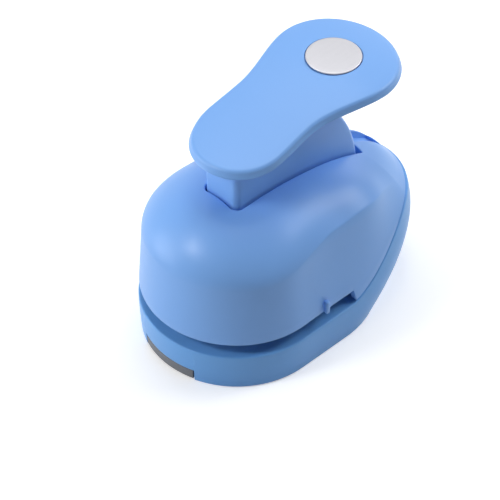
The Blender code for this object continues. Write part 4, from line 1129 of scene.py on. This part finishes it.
# %% Group: brushed lines on metal
LINE_DETAIL = 3.0
LINE_STRETCH = (1.0, 0.04, 1.0)
brush, brush_in, brush_out = new_group(
    "brushed_lines",
    [("Scale", "Float", 400.0), ("Roughness", "Float", 0.3), ("Spread", "Float", 0.2)],
    [("Height", "Float"), ("Roughness", "Float")])
lines = add_noise(brush, brush_in.outputs["Scale"], LINE_DETAIL, LINE_STRETCH)
spread = add_math(brush, "MULTIPLY", about_zero(brush, lines), brush_in.outputs["Spread"])
rubbed = add_math(brush, "ADD", brush_in.outputs["Roughness"], spread)
brush.links.new(lines, brush_out.inputs["Height"])
brush.links.new(rubbed, brush_out.inputs["Roughness"])
print("node groups:", [group.name for group in bpy.data.node_groups])

# %% [markdown]
# ## The finishes
#
# The shell, the lever and the base are moulded in blue plastic with a satin skin; the base's
# blue is set a little darker, which is painted shade. The inlay is satin silver, the cover
# dark grey, and the working parts are steel with a brushed, turned or plated surface. Each
# could have nodes of its own, but one recipe with a row of values for each finish shows at a
# glance how they differ.

# %% One recipe for every finish
BUMP_STRENGTH = 0.5


def set_inputs(node, values):
    for label, value in values.items():
        node.inputs[label].default_value = value
    return node


def use_group(material, group, values):
    node = material.node_tree.nodes.new("ShaderNodeGroup")
    node.node_tree = group
    return set_inputs(node, values)


def surface_material(name, colour, roughness, spread, relief, texture, scale, metallic, drift,
                     specular):
    """A drifting tone, a texture in the roughness and a fine relief."""
    material = bpy.data.materials.new(name)
    material.use_nodes = True
    tree = material.node_tree
    shader = set_inputs(tree.nodes["Principled BSDF"],
                        {"Metallic": metallic, "Specular IOR Level": specular})
    tinted = use_group(material, tone, {"Colour": (*colour, 1.0), "Drift": drift})
    textured = use_group(material, texture,
                         {"Scale": scale, "Roughness": roughness, "Spread": spread})
    bump = set_inputs(tree.nodes.new("ShaderNodeBump"),
                      {"Distance": relief * MM, "Strength": BUMP_STRENGTH})
    tree.links.new(tinted.outputs["Colour"], shader.inputs["Base Color"])
    tree.links.new(textured.outputs["Roughness"], shader.inputs["Roughness"])
    tree.links.new(textured.outputs["Height"], bump.inputs["Height"])
    tree.links.new(bump.outputs["Normal"], shader.inputs["Normal"])
    return material


# %% The finishes by name
# Each row holds the colour, the roughness and its spread, the relief in millimetres, the
# texture and its waves per metre, and then metallic, drift and specular.
finish_rows = {
    "blue_satin": ((0.215, 0.455, 0.93), 0.36, 0.10, 0.02, grain, 2200.0, 0.0, 0.03, 0.35),
    # The base is the shell's blue plastic with its colour set darker: painted shade.
    "base_blue_painted_shade": ((0.155, 0.415, 0.86), 0.36, 0.10, 0.02, grain, 2200.0, 0.0, 0.03, 0.35),
    "cover_matt": ((0.16, 0.17, 0.19), 0.55, 0.12, 0.03, grain, 1800.0, 0.0, 0.03, 0.5),
    "silver_inlay": ((0.48, 0.48, 0.51), 0.50, 0.25, 0.01, brush, 700.0, 0.75, 0.12, 0.5),
    "tool_steel": ((0.62, 0.63, 0.65), 0.22, 0.15, 0.005, brush, 700.0, 1.0, 0.03, 0.5),
    "plate_steel": ((0.58, 0.59, 0.61), 0.34, 0.20, 0.01, brush, 500.0, 1.0, 0.03, 0.5),
    "zinc_plate": ((0.55, 0.56, 0.58), 0.42, 0.20, 0.01, grain, 900.0, 1.0, 0.03, 0.5),
    "spring_steel": ((0.45, 0.46, 0.49), 0.30, 0.15, 0.005, grain, 1200.0, 1.0, 0.03, 0.5),
    "screw_steel": ((0.50, 0.51, 0.53), 0.30, 0.15, 0.005, brush, 900.0, 1.0, 0.03, 0.5)}
finishes = {name: surface_material(name, *row) for name, row in finish_rows.items()}
print("finishes:", list(finishes))

# %% Dress the pieces
METAL_EDGE = 0.12 * MM
METAL_EDGE_STEPS = 2
METAL_EDGE_ANGLE = math.radians(40)
for piece, finish in ((shell, "blue_satin"), (lever, "blue_satin"), (base, "base_blue_painted_shade"),
                      (cover, "cover_matt"), (inlay, "silver_inlay"), (spring, "spring_steel")):
    piece.data.materials.append(finishes[finish])
node_finishes = {"punch_cutter": "tool_steel", "pivot_pin": "tool_steel",
                 "die_plate": "plate_steel", "guide_plate": "plate_steel",
                 "paper_stop": "plate_steel", "lever_bracket": "zinc_plate",
                 "punch_head": "zinc_plate", "spring_washer": "spring_steel",
                 "pin_clip_left": "spring_steel", "pin_clip_right": "spring_steel"}
shown = {name: node for name, node in nodes.items() if not node.hide_render}
for name, node in shown.items():
    node.data.materials.clear()
    node.data.materials.append(finishes[node_finishes.get(name, "screw_steel")])
    edge = node.modifiers.new("broken_edge", "BEVEL")
    edge.width = METAL_EDGE
    edge.segments = METAL_EDGE_STEPS
    edge.limit_method = "ANGLE"
    edge.angle_limit = METAL_EDGE_ANGLE
    edge.harden_normals = True
print("steel nodes dressed:", len(shown))

# %% [markdown]
# ## Floor, light and camera
#
# The punch stands on a white floor in a bright tent. Soft lamps stand low at the front left,
# at the right rear, behind and above, and a small one at the front left draws the gleam on
# the nose. None stands at the front right, where the camera looks in, so that side is darker.
# A picture of a studio could light the scene, but lamps can be set one by one until each
# shade is right. The floor and the tent glow only for rays that show a background, so the
# white is even and yet the punch keeps its own shadow.

# %% Rays that show a background
def seen_rays(tree):
    """One for the rays to the camera, off a gloss or through glass."""
    path = tree.nodes.new("ShaderNodeLightPath")
    total = path.outputs["Is Camera Ray"]
    for label in ("Is Glossy Ray", "Is Transmission Ray"):
        total = add_math(tree, "MAXIMUM", total, path.outputs[label])
    return total


# %% Floor
FLOOR_SIZE = 3.0
FLOOR_LIFT = 0.40
FLOOR_WHITE = (0.9, 0.9, 0.9, 1)
FLOOR_ROUGHNESS = 0.9
FADE_START, FADE_STOP = 0.15, 0.75
floor_mesh = bmesh.new()
bmesh.ops.create_grid(floor_mesh, x_segments=1, y_segments=1, size=FLOOR_SIZE)
floor_data = bpy.data.meshes.new("floor")
floor_mesh.to_mesh(floor_data)
floor_mesh.free()
floor = add_object("floor", floor_data)
white_floor = bpy.data.materials.new("white_floor")
white_floor.use_nodes = True
floor_tree = white_floor.node_tree
floor_shader = set_inputs(floor_tree.nodes["Principled BSDF"], {
    "Base Color": FLOOR_WHITE, "Roughness": FLOOR_ROUGHNESS, "Specular IOR Level": 0.0,
    "Emission Color": (1, 1, 1, 1)})
places = floor_tree.nodes.new("ShaderNodeTexCoord")
away = floor_tree.nodes.new("ShaderNodeVectorMath")
away.operation = "LENGTH"
floor_tree.links.new(places.outputs["Object"], away.inputs[0])
fade = set_inputs(floor_tree.nodes.new("ShaderNodeMapRange"), {
    "From Min": FADE_START, "From Max": FADE_STOP, "To Min": FLOOR_LIFT, "To Max": 1.0})
floor_tree.links.new(away.outputs["Value"], fade.inputs["Value"])
glow = add_math(floor_tree, "MULTIPLY", seen_rays(floor_tree), fade.outputs["Result"])
floor_tree.links.new(glow, floor_shader.inputs["Emission Strength"])
floor_data.materials.append(white_floor)

# %% World
TENT_LIGHT, TENT_SEEN = 0.05, 1.0
world = bpy.data.worlds.new("tent")
bpy.context.scene.world = world
world.use_nodes = True
world_tree = world.node_tree
backdrop = set_inputs(world_tree.nodes["Background"], {"Color": (1, 1, 1, 1)})
strength = set_inputs(world_tree.nodes.new("ShaderNodeMapRange"),
                      {"To Min": TENT_LIGHT, "To Max": TENT_SEEN})
world_tree.links.new(seen_rays(world_tree), strength.inputs["Value"])
world_tree.links.new(strength.outputs["Result"], backdrop.inputs["Strength"])

# %% Lamps
LAMP_DISTANCE = 0.6
LAMP_TARGET = Vector((0, 0, 0.04))
# Each row holds the name, the azimuth and elevation in degrees, the width and the watts.
LAMPS = (("low_left_panel", 318, 10, 0.32, 1.34), ("right_panel", 146, 45, 0.22, 0.78),
         ("rear_right_panel", 160, 35, 0.22, 0.76), ("high_rear_panel", 240, 66, 0.32, 0.82),
         ("left_window", 341, 43, 0.13, 1.10), ("rear_panel", 200, 20, 0.32, 0.36),
         ("top_panel", 180, 85, 0.20, 0.44))


def stand(name, data, target, azimuth, elevation, distance):
    """A lamp or camera that faces its target; azimuth 0 is straight ahead of the nose."""
    turn, lift = math.radians(azimuth), math.radians(elevation)
    back = Vector((math.sin(turn) * math.cos(lift), -math.cos(turn) * math.cos(lift),
                   math.sin(lift)))
    holder = add_object(name, data)
    holder.location = target + back * distance
    holder.rotation_mode = "QUATERNION"
    holder.rotation_quaternion = (-back).to_track_quat("-Z", "Y")
    return holder


for name, azimuth, elevation, width, watts in LAMPS:
    lamp = bpy.data.lights.new(name, "AREA")
    lamp.shape = "SQUARE"
    lamp.size = width
    lamp.energy = watts
    stand(name, lamp, LAMP_TARGET, azimuth, elevation, LAMP_DISTANCE)
print("lamps:", len(LAMPS))

# %% Camera
CAMERA_AZIMUTH = 46.6
CAMERA_ELEVATION = 44.08
CAMERA_DISTANCE = 0.7491
CAMERA_TARGET = Vector((0.0064, -0.01869, 0.035))
SENSOR_WIDTH = 36.0
FOCAL_PIXELS = 2393
IMAGE_PIXELS = 500
NEAREST_SEEN = 0.01
camera_data = bpy.data.cameras.new("camera")
camera_data.sensor_width = SENSOR_WIDTH
camera_data.lens = SENSOR_WIDTH * FOCAL_PIXELS / IMAGE_PIXELS
camera_data.clip_start = NEAREST_SEEN
bpy.context.scene.camera = stand("camera", camera_data, CAMERA_TARGET, CAMERA_AZIMUTH,
                                 CAMERA_ELEVATION, CAMERA_DISTANCE)
bpy.context.scene.view_settings.view_transform = "Standard"
print("lens in millimetres:", round(camera_data.lens, 1))
